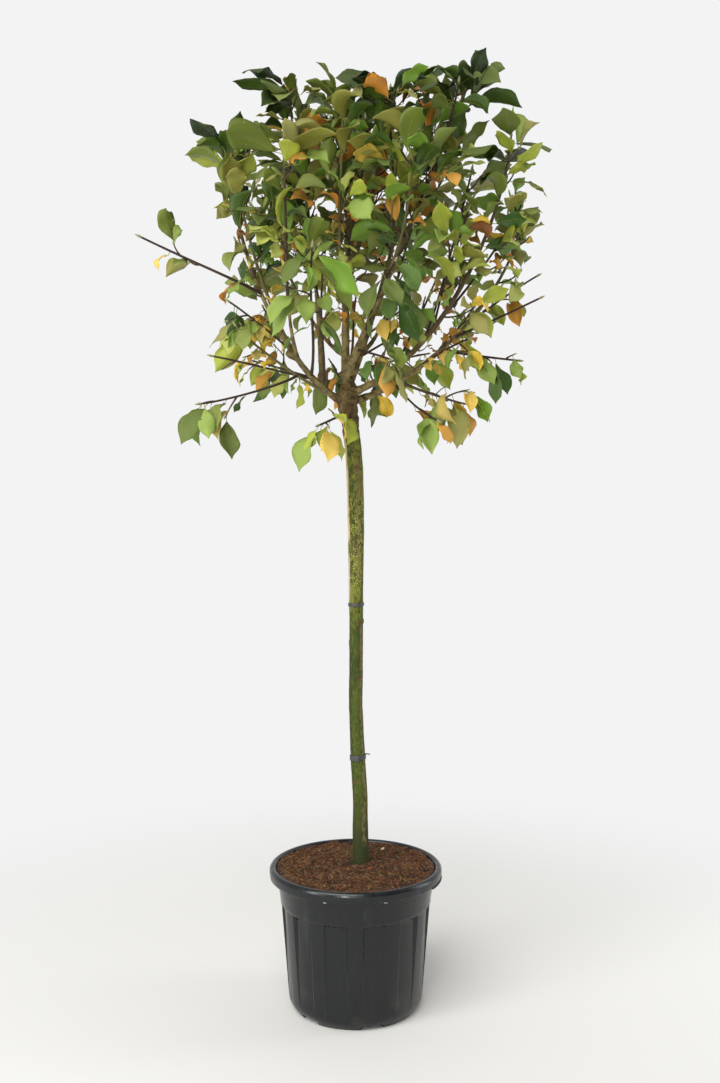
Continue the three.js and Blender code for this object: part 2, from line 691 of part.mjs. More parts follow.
// The seeded rule that a mass grows by: leaves and side twigs by turns round the stem at
// the golden angle, leaves along each twig and at its end, and a ring of leaves round the
// stem's own tip.
function growMass(limb, space, placed) {
  const random = seededRandom(limb.seed);
  const stem = limbStretch(limb, limb.split, 1, LIMB.step);
  const mass = { limb, stem, twigs: [], leaves: [] };
  const stemLength = (1 - limb.split) * limb.length;
  const sites = Math.floor(stemLength / FOLIAGE.siteSpacing);
  const addLeaf = (base, way, turn, leanRange) => {
    const site = {
      base,
      way,
      turn: turn + 0.6 * (random() - 0.5),
      lean: mix(leanRange[0], leanRange[1], random()),
      roll: 2.2 * (random() - 0.5),
      size: 1 + LEAF.spread * (2 * random() - 1),
    };
    const leaf = placeLeaf(site, limb, space, placed);
    if (leaf) mass.leaves.push(leaf);
  };
  const leafySites = limb.ring > 0 ? sites : sites * FOLIAGE.leafyShare;
  for (let k = 1; k < leafySites; k += 1) {
    const share = mix(limb.split, 1, k / sites);
    const base = limbPoint(limb, share);
    const way = limbPoint(limb, Math.min(1, share + 0.02)).sub(base).normalize();
    const turn = k * GOLDEN_ANGLE + limb.phase;
    const kept = random() < limb.fill;
    const twigLength = limb.twig * mix(1, 0.7, k / sites) * mix(0.6, 1, random());
    const twigLean = mix(0.6, 1, random());
    if (kept && k % FOLIAGE.twigEvery === 0) {
      const twig = placeTwig({ base, way, turn, lean: twigLean, length: twigLength }, limb, space);
      if (twig) {
        mass.twigs.push(twig);
        const count = Math.floor(twig.reach / FOLIAGE.twigLeafSpacing);
        for (let j = 1; j <= count; j += 1) {
          const along = j / count;
          const foot = along < 0.5
            ? twig.points[0].clone().lerp(twig.points[1], along * 2)
            : twig.points[1].clone().lerp(twig.points[2], Math.min(0.97, along * 2 - 1));
          addLeaf(foot, along < 0.5 ? twig.along : twig.rising, turn + j * GOLDEN_ANGLE, [0.6, 1.2]);
        }
        addLeaf(twig.points[2].clone().lerp(twig.points[1], 0.05), twig.rising, turn, [0.3, 0.7]);
      }
    } else if (kept) {
      addLeaf(base, way, turn, [0.7, 1.3]);
    }
  }
  const tipWay = limbPoint(limb, 1).sub(limbPoint(limb, 0.97)).normalize();
  for (let j = 0; j < limb.ring; j += 1) {
    const base = limbPoint(limb, 1 - (FOLIAGE.ringSpacing * (j + 0.4)) / limb.length);
    addLeaf(base, tipWay, limb.phase + j * GOLDEN_ANGLE, [0.9, 1.6]);
  }
  return mass;
}

// A thin eight-faced blade whose halves hang from its midrib, with its foot sunk in the twig.
function leafSolid({ base, along, across, normal, length, width }) {
  const place = (run, side, drop) => base.clone()
    .addScaledVector(along, run)
    .addScaledVector(across, side)
    .addScaledVector(normal, -drop)
    .toArray();
  const { root, belly, shoulder, fold } = LEAF;
  const vertices = [
    place(-root, 0, 0),
    place(length, 0, 0),
    place(belly * length, width / 2, fold * length),
    place(shoulder * length, width / 2, fold * length),
    place(belly * length, -width / 2, fold * length),
    place(shoulder * length, -width / 2, fold * length),
  ];
  const faces = [
    [0, 1, 2], [1, 3, 2], [0, 4, 1], [1, 4, 5],
    [0, 2, 4], [4, 2, 3], [4, 3, 5], [5, 3, 1],
  ];
  return toSolid(geometryFrom(vertices, faces));
}

function massGeometry(mass) {
  const { points, radii } = mass.stem;
  const way = splitWay(mass.limb);
  const stemPoints = points.map((point) => point.clone());
  stemPoints[0].addScaledVector(way, GAP / 2);
  const pieces = [toSolid(taperedBar(stemPoints, radii, FOLIAGE.stemSides, { first: way }))];
  mass.twigs.forEach((twig) => {
    const { twigFoot, twigTip } = FOLIAGE;
    const twigRadii = [twigFoot / 2, (twigFoot + twigTip) / 4, twigTip / 2];
    pieces.push(toSolid(taperedBar(twig.points, twigRadii, FOLIAGE.twigSides)));
  });
  mass.leaves.forEach((leaf) => pieces.push(leafSolid(leaf)));
  const solid = wasm.Manifold.union(pieces);
  return toGeometry(mass.limb.split > 0 ? solid : solid.subtract(grownTrunk));
}

// ---------------------------------------------------------------- the plant

const MATERIALS = {
  pot: new THREE.MeshStandardMaterial({ color: 0x17191b, roughness: 0.45, metalness: 0 }),
  soil: new THREE.MeshStandardMaterial({ color: 0x5a3521, roughness: 1, metalness: 0 }),
  trunk: new THREE.MeshStandardMaterial({ color: 0x5d6331, roughness: 0.85, metalness: 0 }),
  tie: new THREE.MeshStandardMaterial({ color: 0x1b1c1e, roughness: 0.6, metalness: 0 }),
  bough: new THREE.MeshStandardMaterial({ color: 0x6a553f, roughness: 0.85, metalness: 0 }),
  foliage: new THREE.MeshStandardMaterial({ color: 0x5d7434, roughness: 0.6, metalness: 0 }),
};

function addPiece(group, name, geometry, material) {
  const mesh = new THREE.Mesh(geometry, material);
  mesh.name = name;
  group.add(mesh);
}

const tree = new THREE.Group();
tree.name = 'magnolia_tree';

addPiece(tree, 'pot', potGeometry(), MATERIALS.pot);
addPiece(tree, 'root_ball', rootBallGeometry(), MATERIALS.soil);
addPiece(tree, 'trunk', toGeometry(trunkSolid(0)), MATERIALS.trunk);

const grownTrunk = trunkSolid(GAP);
Object.entries(TIES).forEach(([name, tie]) => {
  addPiece(tree, name, tieGeometry(tie, grownTrunk, name === 'lower_tie'), MATERIALS.tie);
});

const limbs = settleLimbs();
const grownBoughs = [];
Object.values(limbs).filter((limb) => limb.split > 0).forEach((limb) => {
  let solid = boughSolid(limb, 0).subtract(grownTrunk);
  grownBoughs.forEach((grown) => {
    solid = solid.subtract(grown);
  });
  grownBoughs.push(boughSolid(limb, GAP));
  addPiece(tree, `${limb.name}_bough`.replace('bough_bough', 'bough'), toGeometry(solid), MATERIALS.bough);
});

const space = crownSpace(limbs);
const placed = [];
Object.values(limbs).forEach((limb) => {
  const mass = growMass(limb, space, placed);
  addPiece(tree, `${limb.name}_foliage`, massGeometry(mass), MATERIALS.foliage);
});

export default tree;
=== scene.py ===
"""A young magnolia grown as a standard, in a black ribbed nursery pot.

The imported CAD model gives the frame, the trunk's line and the pot's size. The crown grows
here again by the same seeded rule as the CAD masses, carried on to finer twigs and to
leaves with petioles, veins and wavy rims. Lengths are millimetres until a mesh is made.
"""

import json
import math

import bpy
import numpy as np
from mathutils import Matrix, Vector, noise

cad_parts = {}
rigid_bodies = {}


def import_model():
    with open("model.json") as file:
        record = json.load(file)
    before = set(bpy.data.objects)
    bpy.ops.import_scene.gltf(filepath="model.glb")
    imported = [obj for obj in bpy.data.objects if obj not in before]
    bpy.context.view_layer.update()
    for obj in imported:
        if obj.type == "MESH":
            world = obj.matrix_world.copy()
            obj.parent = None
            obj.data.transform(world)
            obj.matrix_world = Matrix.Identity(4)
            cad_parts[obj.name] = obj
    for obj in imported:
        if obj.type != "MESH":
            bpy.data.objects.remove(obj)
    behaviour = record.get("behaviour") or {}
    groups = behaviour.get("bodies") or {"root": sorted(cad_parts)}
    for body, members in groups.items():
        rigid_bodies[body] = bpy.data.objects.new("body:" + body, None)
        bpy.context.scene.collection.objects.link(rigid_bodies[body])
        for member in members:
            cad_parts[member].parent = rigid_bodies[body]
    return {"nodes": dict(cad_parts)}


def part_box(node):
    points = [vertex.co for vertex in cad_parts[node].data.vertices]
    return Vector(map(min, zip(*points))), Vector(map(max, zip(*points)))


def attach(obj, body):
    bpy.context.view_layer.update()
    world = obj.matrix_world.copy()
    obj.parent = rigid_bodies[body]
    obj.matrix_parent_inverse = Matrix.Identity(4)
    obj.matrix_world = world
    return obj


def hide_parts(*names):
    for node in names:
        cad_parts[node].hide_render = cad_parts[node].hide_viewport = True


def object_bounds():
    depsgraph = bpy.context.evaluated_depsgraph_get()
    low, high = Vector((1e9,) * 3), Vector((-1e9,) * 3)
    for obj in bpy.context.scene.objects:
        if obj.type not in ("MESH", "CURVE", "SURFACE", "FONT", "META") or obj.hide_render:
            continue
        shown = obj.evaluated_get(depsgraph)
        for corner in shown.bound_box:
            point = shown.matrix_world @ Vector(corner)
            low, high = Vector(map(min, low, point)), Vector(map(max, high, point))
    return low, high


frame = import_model()
cad_low, cad_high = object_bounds()

MM = 0.001
UP = np.array([0.0, 0.0, 1.0])
GOLDEN_ANGLE = math.pi * (3 - math.sqrt(5))
STEEP, PLUMB = 0.9, 0.98               # rise of a steep and of a nearly upright direction

# ---------------------------------------------------------------- driving dimensions

REACH_LOW = np.array(cad_low) / MM     # nothing stands outside the solids' reach
REACH_HIGH = np.array(cad_high) / MM
REACH_MARGIN = np.array([7.0, 7.0, 16.0])
EYE_DISTANCE = 3117                    # of the camera from the trunk's plane

CROWN_CENTRE = (-10.0, 0.0)

# The limbs, each one line of growth: the parent and the share of its length that it leaves
# at (or the height on the trunk), azimuth, reach and height of its tip, how much it bows,
# its diameter at the foot, the share of it that is bare bough, its longest side twig, how
# far its leaves hang, the share of leaf sites taken and the leaves round its own tip.
LIMB_FIELDS = ("parent", "at", "azimuth", "reach", "top", "bow", "foot", "split",
               "twig", "droop", "fill", "ring")
LIMBS = {
    "leader": ("trunk", 1694, 108, 62, 2520, 1, 27, 0.5, 120, 0.2, 1, 5),
    "leader_fork": ("leader", 0.4, 28, 120, 2530, 1.25, 17, 0.3, 120, 0.2, 1, 5),
    "front_leader": ("leader", 0.06, -17, 310, 2475, 1.04, 24, 0.36, 140, 0.2, 1, 6),
    "right_bough": ("trunk", 1694, -18, 435, 2340, 1.5, 21, 0.38, 120, 0.2, 0.9, 6),
    "right_rear_bough": ("trunk", 1670, 16, 490, 2170, 1.4, 20, 0.6, 120, 0.3, 1, 6),
    "left_bough": ("trunk", 1668, -157, 350, 2320, 1.5, 21, 0.62, 130, 0.2, 1, 6),
    "left_rear_bough": ("left_bough", 0.12, 165, 345, 2370, 1.35, 16, 0.42, 130, 0.2, 1, 6),
    "left_leader": ("left_bough", 0.15, 150, 175, 2535, 1.08, 16, 0.38, 130, 0.2, 1, 6),
    "rear_right_leader": ("trunk", 1700, 30, 235, 2560, 1.2, 19, 0.4, 130, 0.2, 1, 6),
    "rear_leader": ("trunk", 1690, 96, 290, 2520, 1.3, 19, 0.42, 140, 0.15, 1, 6),
    "rear_left_bough": ("rear_leader", 0.22, 133, 390, 2330, 1.3, 13, 0.4, 140, 0.25, 1, 6),
    "rear_right_bough": ("rear_right_leader", 0.18, 60, 400, 2330, 1.3, 13, 0.4, 140, 0.25, 1, 6),
    "front_right_wand": ("front_leader", 0.26, -60, 310, 2290, 1.25, 12, 0.4, 120, 0.25, 1, 6),
    "front_left_wand": ("left_bough", 0.3, -122, 320, 2260, 1.25, 12, 0.4, 120, 0.25, 1, 6),
    "front_wand": ("leader", 0.2, -95, 215, 2370, 1.3, 11, 0.5, 110, 0.25, 1, 6),
    "inner_right_wand": ("right_bough", 0.3, -40, 290, 2170, 1.08, 10, 0.3, 110, 0.4, 0.9, 5),
    "front_right_spray": ("front_leader", 0.17, -70, 320, 1990, 1, 8, 0.3, 90, 1.1, 1, 5),
    "front_left_spray": ("left_bough", 0.22, -106, 330, 2020, 1.1, 8, 0.4, 90, 1, 1, 5),
    "low_left_wand": ("left_bough", 0.07, -162, 320, 1860, 1.15, 10, 0.5, 90, 0.7, 1, 5),
    "low_left_spray": ("low_left_wand", 0.36, -153, 430, 1650, 0.85, 7, 0.5, 80, 1.2, 1, 5),
    "long_left_shoot": ("left_bough", 0.57, -160, 568, 2072, 1, 8, 0.2, 50, 0.1, 0.55, 0),
    "low_right_spray": ("right_rear_bough", 0.22, -10, 310, 1660, 0.9, 9, 0.16, 120, 1.3, 1, 8),
    "right_side_spray": ("right_rear_bough", 0.42, 3, 455, 1785, 0.95, 8, 0.3, 60, 1.1, 0.8, 3),
    "right_bare_twig": ("right_rear_bough", 0.49, -3, 505, 1945, 1, 7, 0.5, 40, 0.5, 0, 0),
    "right_bud_shoot": ("right_rear_bough", 0.54, 12, 530, 2030, 0.95, 6, 0.3, 40, 0.7, 1, 0),
    "rear_low_wand": ("rear_leader", 0.14, 88, 370, 2020, 1.2, 10, 0.45, 110, 0.6, 0.9, 5),
    "rear_left_spray": ("left_rear_bough", 0.3, 140, 340, 1960, 1.1, 8, 0.35, 100, 0.8, 0.9, 5),
    "trunk_spur": ("trunk", 1640, -128, 140, 1600, 1, 7, 0, 60, 0.9, 1, 5),
}

# Finer wands, which only this model has, grown on from the limbs by the same rule. The one
# with a limb's name takes that limb's place.
FINE_WANDS = {
    "low_right_wand": ("right_rear_bough", 0.2, -34, 270, 1610, 0.9, 6, 0.4, 110, 1.6, 1, 6),
    "mid_right_wand": ("right_rear_bough", 0.33, -14, 320, 1830, 0.9, 6, 0.2, 110, 1.1, 1, 5),
    "inner_right_twig": ("rear_right_leader", 0.16, 8, 190, 1890, 1, 6, 0.2, 100, 0.8, 1, 5),
    "inner_right_wand": ("front_leader", 0.14, -34, 150, 1900, 1, 6, 0.2, 90, 0.9, 1, 5),
    "right_inner_spray": ("right_bough", 0.22, -22, 235, 1975, 1, 6, 0.2, 100, 0.8, 1, 5),
    "upper_right_wand": ("right_bough", 0.35, -3, 325, 2290, 1.1, 7, 0.2, 120, 0.3, 1, 6),
    "right_edge_wand": ("right_bough", 0.45, -8, 455, 2185, 1.1, 7, 0.3, 100, 0.4, 1, 6),
    "right_inner_wand": ("right_bough", 0.4, -24, 330, 2150, 1, 6, 0.2, 110, 0.5, 1, 6),
    "low_front_wand": ("front_leader", 0.1, -66, 240, 1760, 1, 6, 0.3, 90, 1.3, 1, 5),
    "inner_front_wand": ("left_bough", 0.14, -112, 190, 1990, 1, 6, 0.4, 90, 0.8, 1, 4),
    "low_left_twig": ("left_bough", 0.2, -163, 380, 1780, 0.95, 6, 0.6, 80, 1.4, 1, 6),
    "mid_left_twig": ("left_bough", 0.34, -170, 330, 1930, 0.95, 6, 0.2, 90, 0.9, 1, 5),
    "low_rear_left_twig": ("left_rear_bough", 0.12, 150, 330, 1800, 0.95, 6, 0, 100, 1.0, 1, 5),
    "low_rear_right_twig": ("rear_right_leader", 0.1, 48, 330, 1830, 0.95, 6, 0, 100, 1.0, 1, 5),
    "low_rear_twig": ("rear_leader", 0.08, 102, 280, 1800, 0.95, 6, 0, 100, 1.0, 1, 5),
    "right_rear_wand": ("right_rear_bough", 0.4, 32, 430, 1960, 0.95, 6, 0, 100, 0.9, 1, 5),
    "mid_top_wand": ("leader", 0.45, -75, 130, 2390, 1.2, 7, 0, 110, 0.3, 1, 6),
    "upper_left_wand": ("left_leader", 0.35, -172, 165, 2515, 1.25, 8, 0.1, 110, 0.3, 1, 7),
    "upper_rear_wand": ("rear_leader", 0.45, 70, 200, 2540, 1.2, 7, 0, 120, 0.3, 1, 6),
    "upper_front_wand": ("front_leader", 0.5, -72, 270, 2430, 1.2, 7, 0, 110, 0.3, 1, 6),
    "top_right_wand": ("front_leader", 0.62, -35, 330, 2460, 1.2, 7, 0, 110, 0.3, 1, 6),
}

# How far the leaves reach to the left and the right at each height, seen from the camera and
# measured in the trunk's plane; the shoots that stand out further are named below.
CROWN_EDGE = ((1450, -100, 330), (1640, -230, 400), (1760, -440, 420), (1860, -400, 400),
              (1960, -360, 440), (2100, -350, 480), (2180, -380, 545), (2240, -400, 545),
              (2300, -470, 540), (2350, -500, 590), (2420, -460, 600), (2500, -400, 420),
              (2580, -330, 400), (2640, -300, 400))
OUTER_SHOOTS = ("long_left_shoot", "low_left_spray", "right_side_spray", "right_bud_shoot",
                "trunk_spur", "low_right_spray")
SADDLE = (-60, 135, 2520)              # the lower crown top between two clusters

PHASE_SEED, GROWTH_SEED = 101, 1001    # of the first limb, as in the CAD model
SEEDS = {"leaves": 2024, "buds": 77, "fibres": 9, "crumbs": 21}

LIMB_TIP = 5.4                         # diameter at a shoot's tip
LIMB_TAPER = 0.85                      # exponent of the share along it; below 1 it thins soon
LIMB_COLLAR = 0.28                     # how much wider a foot flares, as a share
LIMB_COLLAR_LENGTH = 32
LIMB_WIGGLE = 9                        # sideways wander of the axis
LIMB_WIGGLE_TURNS = 5.2
LIMB_WIGGLE_LENGTH = 500               # shorter limbs wander less
LIMB_WIGGLE_LOSS = 0.5                 # share of the wander that is gone at the tip
LIMB_STEP = 90                         # straight stretches of the CAD boughs
THICK_LIMB = 11                        # from this diameter at the foot its bark has relief
WOOD_STEP = 8                          # between the places where bare wood is kept clear
TRUNK_ROOM = 29.0                      # how far leaves stay from the stem's axis

SITE_SPACING = 26                      # between two leaves or twigs along a stem
TWIG_EVERY = 2                         # one site in so many carries a twig
TWIG_LENGTHS = (0.6, 1)                # least and most, of the length due to a twig
TWIG_LAST = 0.45                       # what is due at the limb's tip, of its longest twig
TWIG_RISE = 0.5                        # how far a twig's outer half bends up
TWIG_SAG = -0.2                        # or down, on a limb that droops
DROOPING = 0.5                         # from this droop on
TWIG_SHORTENED = 0.5                   # what a twig has lost by its last try, as a share
TWIG_LEAF_SPACING = 22
TWIG_END = 0.97                        # no leaf site further out, but for the one at the tip
TIP_LEAF_BACK = 0.05                   # which stands this share back
TWIGLET_EVERY = 2                      # one leaf site in so many on a twig is a twiglet
TWIGLET_LENGTH = 48
TWIGLET_PAIR = (0.2, 0.4)              # shares back from its tip to a first leaf and a next
TWIGLET_TIP_TURN = 1.5                 # radians round from those to the one at its tip
TWIG_FOOT = 5.2                        # diameters
TWIG_TIP = 3.6
TWIGLET_FOOT = 3.6
TWIGLET_TIP = 2.6
LEAFY_SHARE = 0.75                     # of a stem whose tip is bare
RING_SPACING = 9                       # between the leaves round a limb's tip
RING_START = 0.4                       # spacings back to the first of them
SPUR_CLEAR = 240                       # no spurs nearer to a bough's foot
SPUR_SPACING = 62
SPUR_SPACINGS = (0.7, 1.3)             # least and most, of the spacing
SPUR_LENGTH = 55
SPUR_LENGTHS = (0.4, 1)                # least and most, of the length
SPUR_TURN = 0.7                        # radians round the bough to each millimetre along it
SPUR_RISE = 0.4                        # how far its outer half bends up
SPUR_SUNK = 0.5                        # how deep its foot stands in the bark
SPUR_SHARE = 0.65                      # of the places for a spur that have one
SPUR_LEAVES = 3
SPUR_LEAF_SHARE = 0.15                 # between two of its leaves, of its length
SPUR_LEAF_SIZES = (0.55, 0.85)
SPACE_SLACK = 80                       # how far a mass may reach into the next one's space
LIMB_MARGIN = 3                        # how far leaves and twigs stay from bare wood
LEAF_MARGIN = 1
LEAF_APART = 14                        # least distance between the middles of two leaves
TURNS = 12                             # other ways round that a leaf or twig may be tried
TURN_SPREAD = 0.6                      # radians, over which a leaf's turn is left to chance
LEAN_LOST = 0.35                       # what a leaf's lean has lost by its last try, as a share

# Least and most lean from the line of growth, in radians.
LEAN = {
    "twig": (0.6, 1), "twiglet": (0.7, 1.1), "spur": (0.7, 1.2),
    "stem_leaf": (0.7, 1.3), "ring_leaf": (0.9, 1.6),
    "twig_leaf": (0.6, 1.2), "twig_tip_leaf": (0.3, 0.7),
    "twiglet_leaf": (0.5, 1.1), "twiglet_tip_leaf": (0.2, 0.6), "spur_leaf": (0.4, 1.2),
}
# How old leaves are, 0 to 1, where their place on the line of growth doesn't tell.
AGE = {"ring_leaf": 0.1, "next_ring_leaf": 0.05, "twig_tip_leaf": 0.1, "twiglet_leaf": 0.5,
       "twiglet_tip_leaf": 0.2, "spur_leaf": 0.8}

LEAF_LENGTH = 108                      # petiole and blade
LEAF_SPREAD = 0.38                     # how much longer or shorter a leaf may be, as a share
TIP_LEAF_SIZE = 1.2                    # the leaves round a shoot's tip
TIP_LEAF_SIZES = {"right_bough": 1.45}
LIMB_LEAF_SIZE = {"trunk_spur": 1.1, "low_right_spray": 1.05, "low_right_wand": 1.05,
                  "front_left_spray": 1.15, "front_right_spray": 1.15}
LOW_LEAF_SIZE = 0.84                   # the smaller leaves low in the crown
SIZE_HEIGHTS = (1750, 2250)            # from the low leaves' size to the full one
LEAF_HANG = (0.5, 0.12)                # how much further leaves hang, low and high up
LEAF_ROLL = (2.6, 1.5)                 # radians that blades roll over, low and high up
HANG_HEIGHTS = (1850, 2300)            # what low and high up mean here
LEAF_WIDTH = 0.52                      # of the length
LEAF_CLEAR_OF = 0.16                   # share of a leaf's length that may be close to wood
LEAF_BELLY = 0.4                       # widest from this share of the length
LEAF_SHOULDER = 0.72                   # to this one
LEAF_FOLD = 0.035                      # how far the rims hang, of the length
PETIOLE = 0.15                         # share of the leaf's length
PETIOLE_SAG = 0.012
PETIOLE_RADII = (1.2, 0.95)
MIDRIB_RADII = (0.75, 0.3)
BLADE_THICKNESS = 0.8

# Half width of the blade at even shares of its length, from the petiole to the tip.
BLADE_OUTLINE = (0.03, 0.19, 0.36, 0.52, 0.66, 0.78, 0.88, 0.95, 0.99, 1.0, 0.95, 0.84,
                 0.64, 0.38, 0.16, 0.015)
BLADE_FULLNESS = 0.415                 # half width at the widest place, of the leaf's width
BLADE_ROWS = 12                        # two to each pair of side veins
BLADE_SIDES = 3                        # faces across each half
VEIN_SLANT = 0.5                       # how far side veins run forward, of the half width
VEIN_RELIEF = 1.0                      # how far the blade bulges between them
# Least and most of what shapes each blade: arch, fold, height of the waves at its rim, how
# fast they follow each other and where they begin, twist, and sway to one side.
BLADE_DRAWS = ((0.5, 1.6), (-0.8, 0.5), (3.0, 8.0), (7, 15), (0, 2 * math.pi), (-0.9, 0.9),
               (-0.11, 0.11))
RIM_LAG = 2.1                          # radians between the waves of the two rims
SHRUNK_CURL = 1.5                      # how much more shrunken leaves arch and fold

# Round bars: how many sides each kind has, and how far apart its rings are.
BAR_SIDES = {"trunk": 32, "bough_root": 16, "bough": 20, "old_cut": 14, "wand": 10, "stem": 10,
             "twig": 7, "bud": 8, "rib": 4, "fibre": 3, "tie_tail": 6}
RING_STEP = {"trunk": 12, "bough": 10, "wand": 6, "stem": 9}
TWIG_RINGS = 7

# ---------------------------------------------------------------- small tools


def seeded_random(seed):
    """The CAD model's generator of numbers from 0 to 1."""
    mask = 0xFFFFFFFF
    state = seed & mask

    def draw():
        nonlocal state
        state = (state + 0x6D2B79F5) & mask
        value = state
        value = ((value ^ (value >> 15)) * (value | 1)) & mask
        value ^= (value + (((value ^ (value >> 7)) * (value | 61)) & mask)) & mask
        return ((value ^ (value >> 14)) & mask) / (mask + 1)

    return draw


def mix(a, b, share):
    return a + (b - a) * share


def unit(vector):
    return vector / np.linalg.norm(vector)


def smooth_step(low, high, value):
    """0 to 1 as a value goes from low to high, or the other way round if low is higher."""
    share = np.clip((value - low) / (high - low), 0, 1)
    return share * share * (3 - 2 * share)


def tone(red, green, blue):
    """A linear colour from sRGB tones of 0 to 255."""
    linear = []
    for value in (red, green, blue):
        share = value / 255
        linear.append(share / 12.92 if share <= 0.04045 else ((share + 0.055) / 1.055) ** 2.4)
    return (*linear, 1.0)


class Pile:
    """Many small closed bodies of one kind, joined into one mesh."""

    def __init__(self):
        self.points = []
        self.quads = []
        self.triangles = []
        self.quad_slots = []
        self.triangle_slots = []
        self.count = 0

    def add(self, points, quads=None, triangles=None, slot=0, quad_slots=None):
        """Adds a body in one material slot, or with a slot for each of its quads."""
        points = np.asarray(points, float).reshape(-1, 3)
        if quads is not None and len(quads):
            quads = np.asarray(quads)
            self.quads.append(quads + self.count)
            self.quad_slots.append(np.full(len(quads), slot) if quad_slots is None else quad_slots)
        if triangles is not None and len(triangles):
            triangles = np.asarray(triangles)
            self.triangles.append(triangles + self.count)
            self.triangle_slots.append(np.full(len(triangles), slot))
        self.points.append(points)
        self.count += len(points)

    def tube(self, points, radii, sides, slot=0):
        """A closed round bar along a line of points, with a radius at each."""
        points = np.asarray(points, float)
        rings = tube_rings(points, radii, sides).reshape(-1, 3)
        self.add(np.concatenate([rings, points[[0, -1]]]), grid_faces(len(points), sides),
                 fans(len(points), sides), slot)

    def mesh(self, name, materials, flat_slots=()):
        """The pile as one object, in metres."""
        points = np.concatenate(self.points) * MM
        quads = np.concatenate(self.quads) if self.quads else np.zeros((0, 4), int)
        triangles = np.concatenate(self.triangles) if self.triangles else np.zeros((0, 3), int)
        slots = np.concatenate([*self.quad_slots, *self.triangle_slots]).astype(np.int32)
        loops = np.concatenate([quads.ravel(), triangles.ravel()]).astype(np.int32)
        starts = np.concatenate([np.arange(len(quads)) * 4,
                                 len(quads) * 4 + np.arange(len(triangles)) * 3]).astype(np.int32)
        mesh = bpy.data.meshes.new(name)
        mesh.vertices.add(len(points))
        mesh.vertices.foreach_set("co", points.astype(np.float32).ravel())
        mesh.loops.add(len(loops))
        mesh.loops.foreach_set("vertex_index", loops)
        mesh.polygons.add(len(starts))
        mesh.polygons.foreach_set("loop_start", starts)
        for material in materials:
            mesh.materials.append(material)
        mesh.polygons.foreach_set("material_index", slots % max(1, len(materials)))
        mesh.polygons.foreach_set("use_smooth", ~np.isin(slots, flat_slots))
        mesh.update(calc_edges=True)
        mesh.validate()
        return new_object(name, mesh)


def helper_for(way):
    """A direction that is well away from another: up, or the x axis where that is steep."""
    return UP if abs(way[2]) < STEEP else np.array([1.0, 0, 0])


def tube_rings(points, radii, sides):
    """The rings of points round a line, each turned as little as possible from the last."""
    rings = np.empty((len(points), sides, 3))
    angles = 2 * math.pi * np.arange(sides) / sides
    across = None
    for i, point in enumerate(points):
        along = unit(points[min(i + 1, len(points) - 1)] - points[max(i - 1, 0)])
        if across is None:
            across = np.cross(helper_for(along), along)
        across = unit(across - along * np.dot(across, along))
        over = np.cross(along, across)
        spokes = np.outer(np.cos(angles), across) + np.outer(np.sin(angles), over)
        rings[i] = point + spokes * np.reshape(radii[i], (-1, 1))
    return rings


def new_object(name, data):
    """An object in the scene with a mesh, a light or a camera as its data."""
    thing = bpy.data.objects.new(name, data)
    bpy.context.scene.collection.objects.link(thing)
    return thing


def paint(mesh, name, values):
    """Gives each point of a mesh a value that its material reads by name."""
    layer = mesh.attributes.new(name, "FLOAT", "POINT")
    layer.data.foreach_set("value", np.asarray(values, np.float32))


def mesh_points(mesh):
    """A mesh's points in millimetres."""
    points = np.empty(len(mesh.vertices) * 3)
    mesh.vertices.foreach_get("co", points)
    return points.reshape(-1, 3) / MM


def grid_faces(rows, columns, closed=True):
    """Quads between rows of points, each row a closed ring or an open line."""
    count = columns if closed else columns - 1
    row = np.arange(rows - 1)[:, None] * columns
    column = np.arange(count)[None, :]
    after = (column + 1) % columns
    return np.stack([row + column, row + after, row + columns + after, row + columns + column],
                    axis=-1).reshape(-1, 4)


def fans(rows, columns):
    """Triangles that close a grid of rings at both ends, round two points that follow it."""
    ring = np.arange(columns)
    after = (ring + 1) % columns
    last = (rows - 1) * columns
    foot, head = rows * columns, rows * columns + 1
    return np.concatenate([np.stack([np.full(columns, foot), after, ring], axis=1),
                           np.stack([np.full(columns, head), last + ring, last + after], axis=1)])


def flat_caps(rows, columns):
    """Triangles that close a grid of flat rings at both ends, from each ring's first point."""
    fan = np.array([(0, i + 1, i) for i in range(1, columns - 1)])
    return np.concatenate([fan, (rows - 1) * columns + fan[:, [0, 2, 1]]])


def spoke(angle):
    """The level direction so many radians round from the x axis."""
    return np.array([math.cos(angle), math.sin(angle), 0])


def mount(piece, slot, *nodes):
    """Rides the piece on the object's one body and hides the nodes it stands for; its slot is not
    used.
    """
    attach(piece, "root")
    if nodes:
        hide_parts(*nodes)


# ---------------------------------------------------------------- materials


def fill(tree, socket, value):
    """Gives a node's input a plain value or another node's output."""
    if isinstance(value, bpy.types.NodeSocket):
        tree.links.new(value, socket)
    else:
        socket.default_value = value


def add_node(tree, kind, inputs, **settings):
    """A new node with its settings, and what goes into its inputs, by name or number."""
    node = tree.nodes.new("ShaderNode" + kind)
    for name, value in settings.items():
        setattr(node, name, value)
    for name, value in inputs.items():
        fill(tree, node.inputs[name], value)
    return node


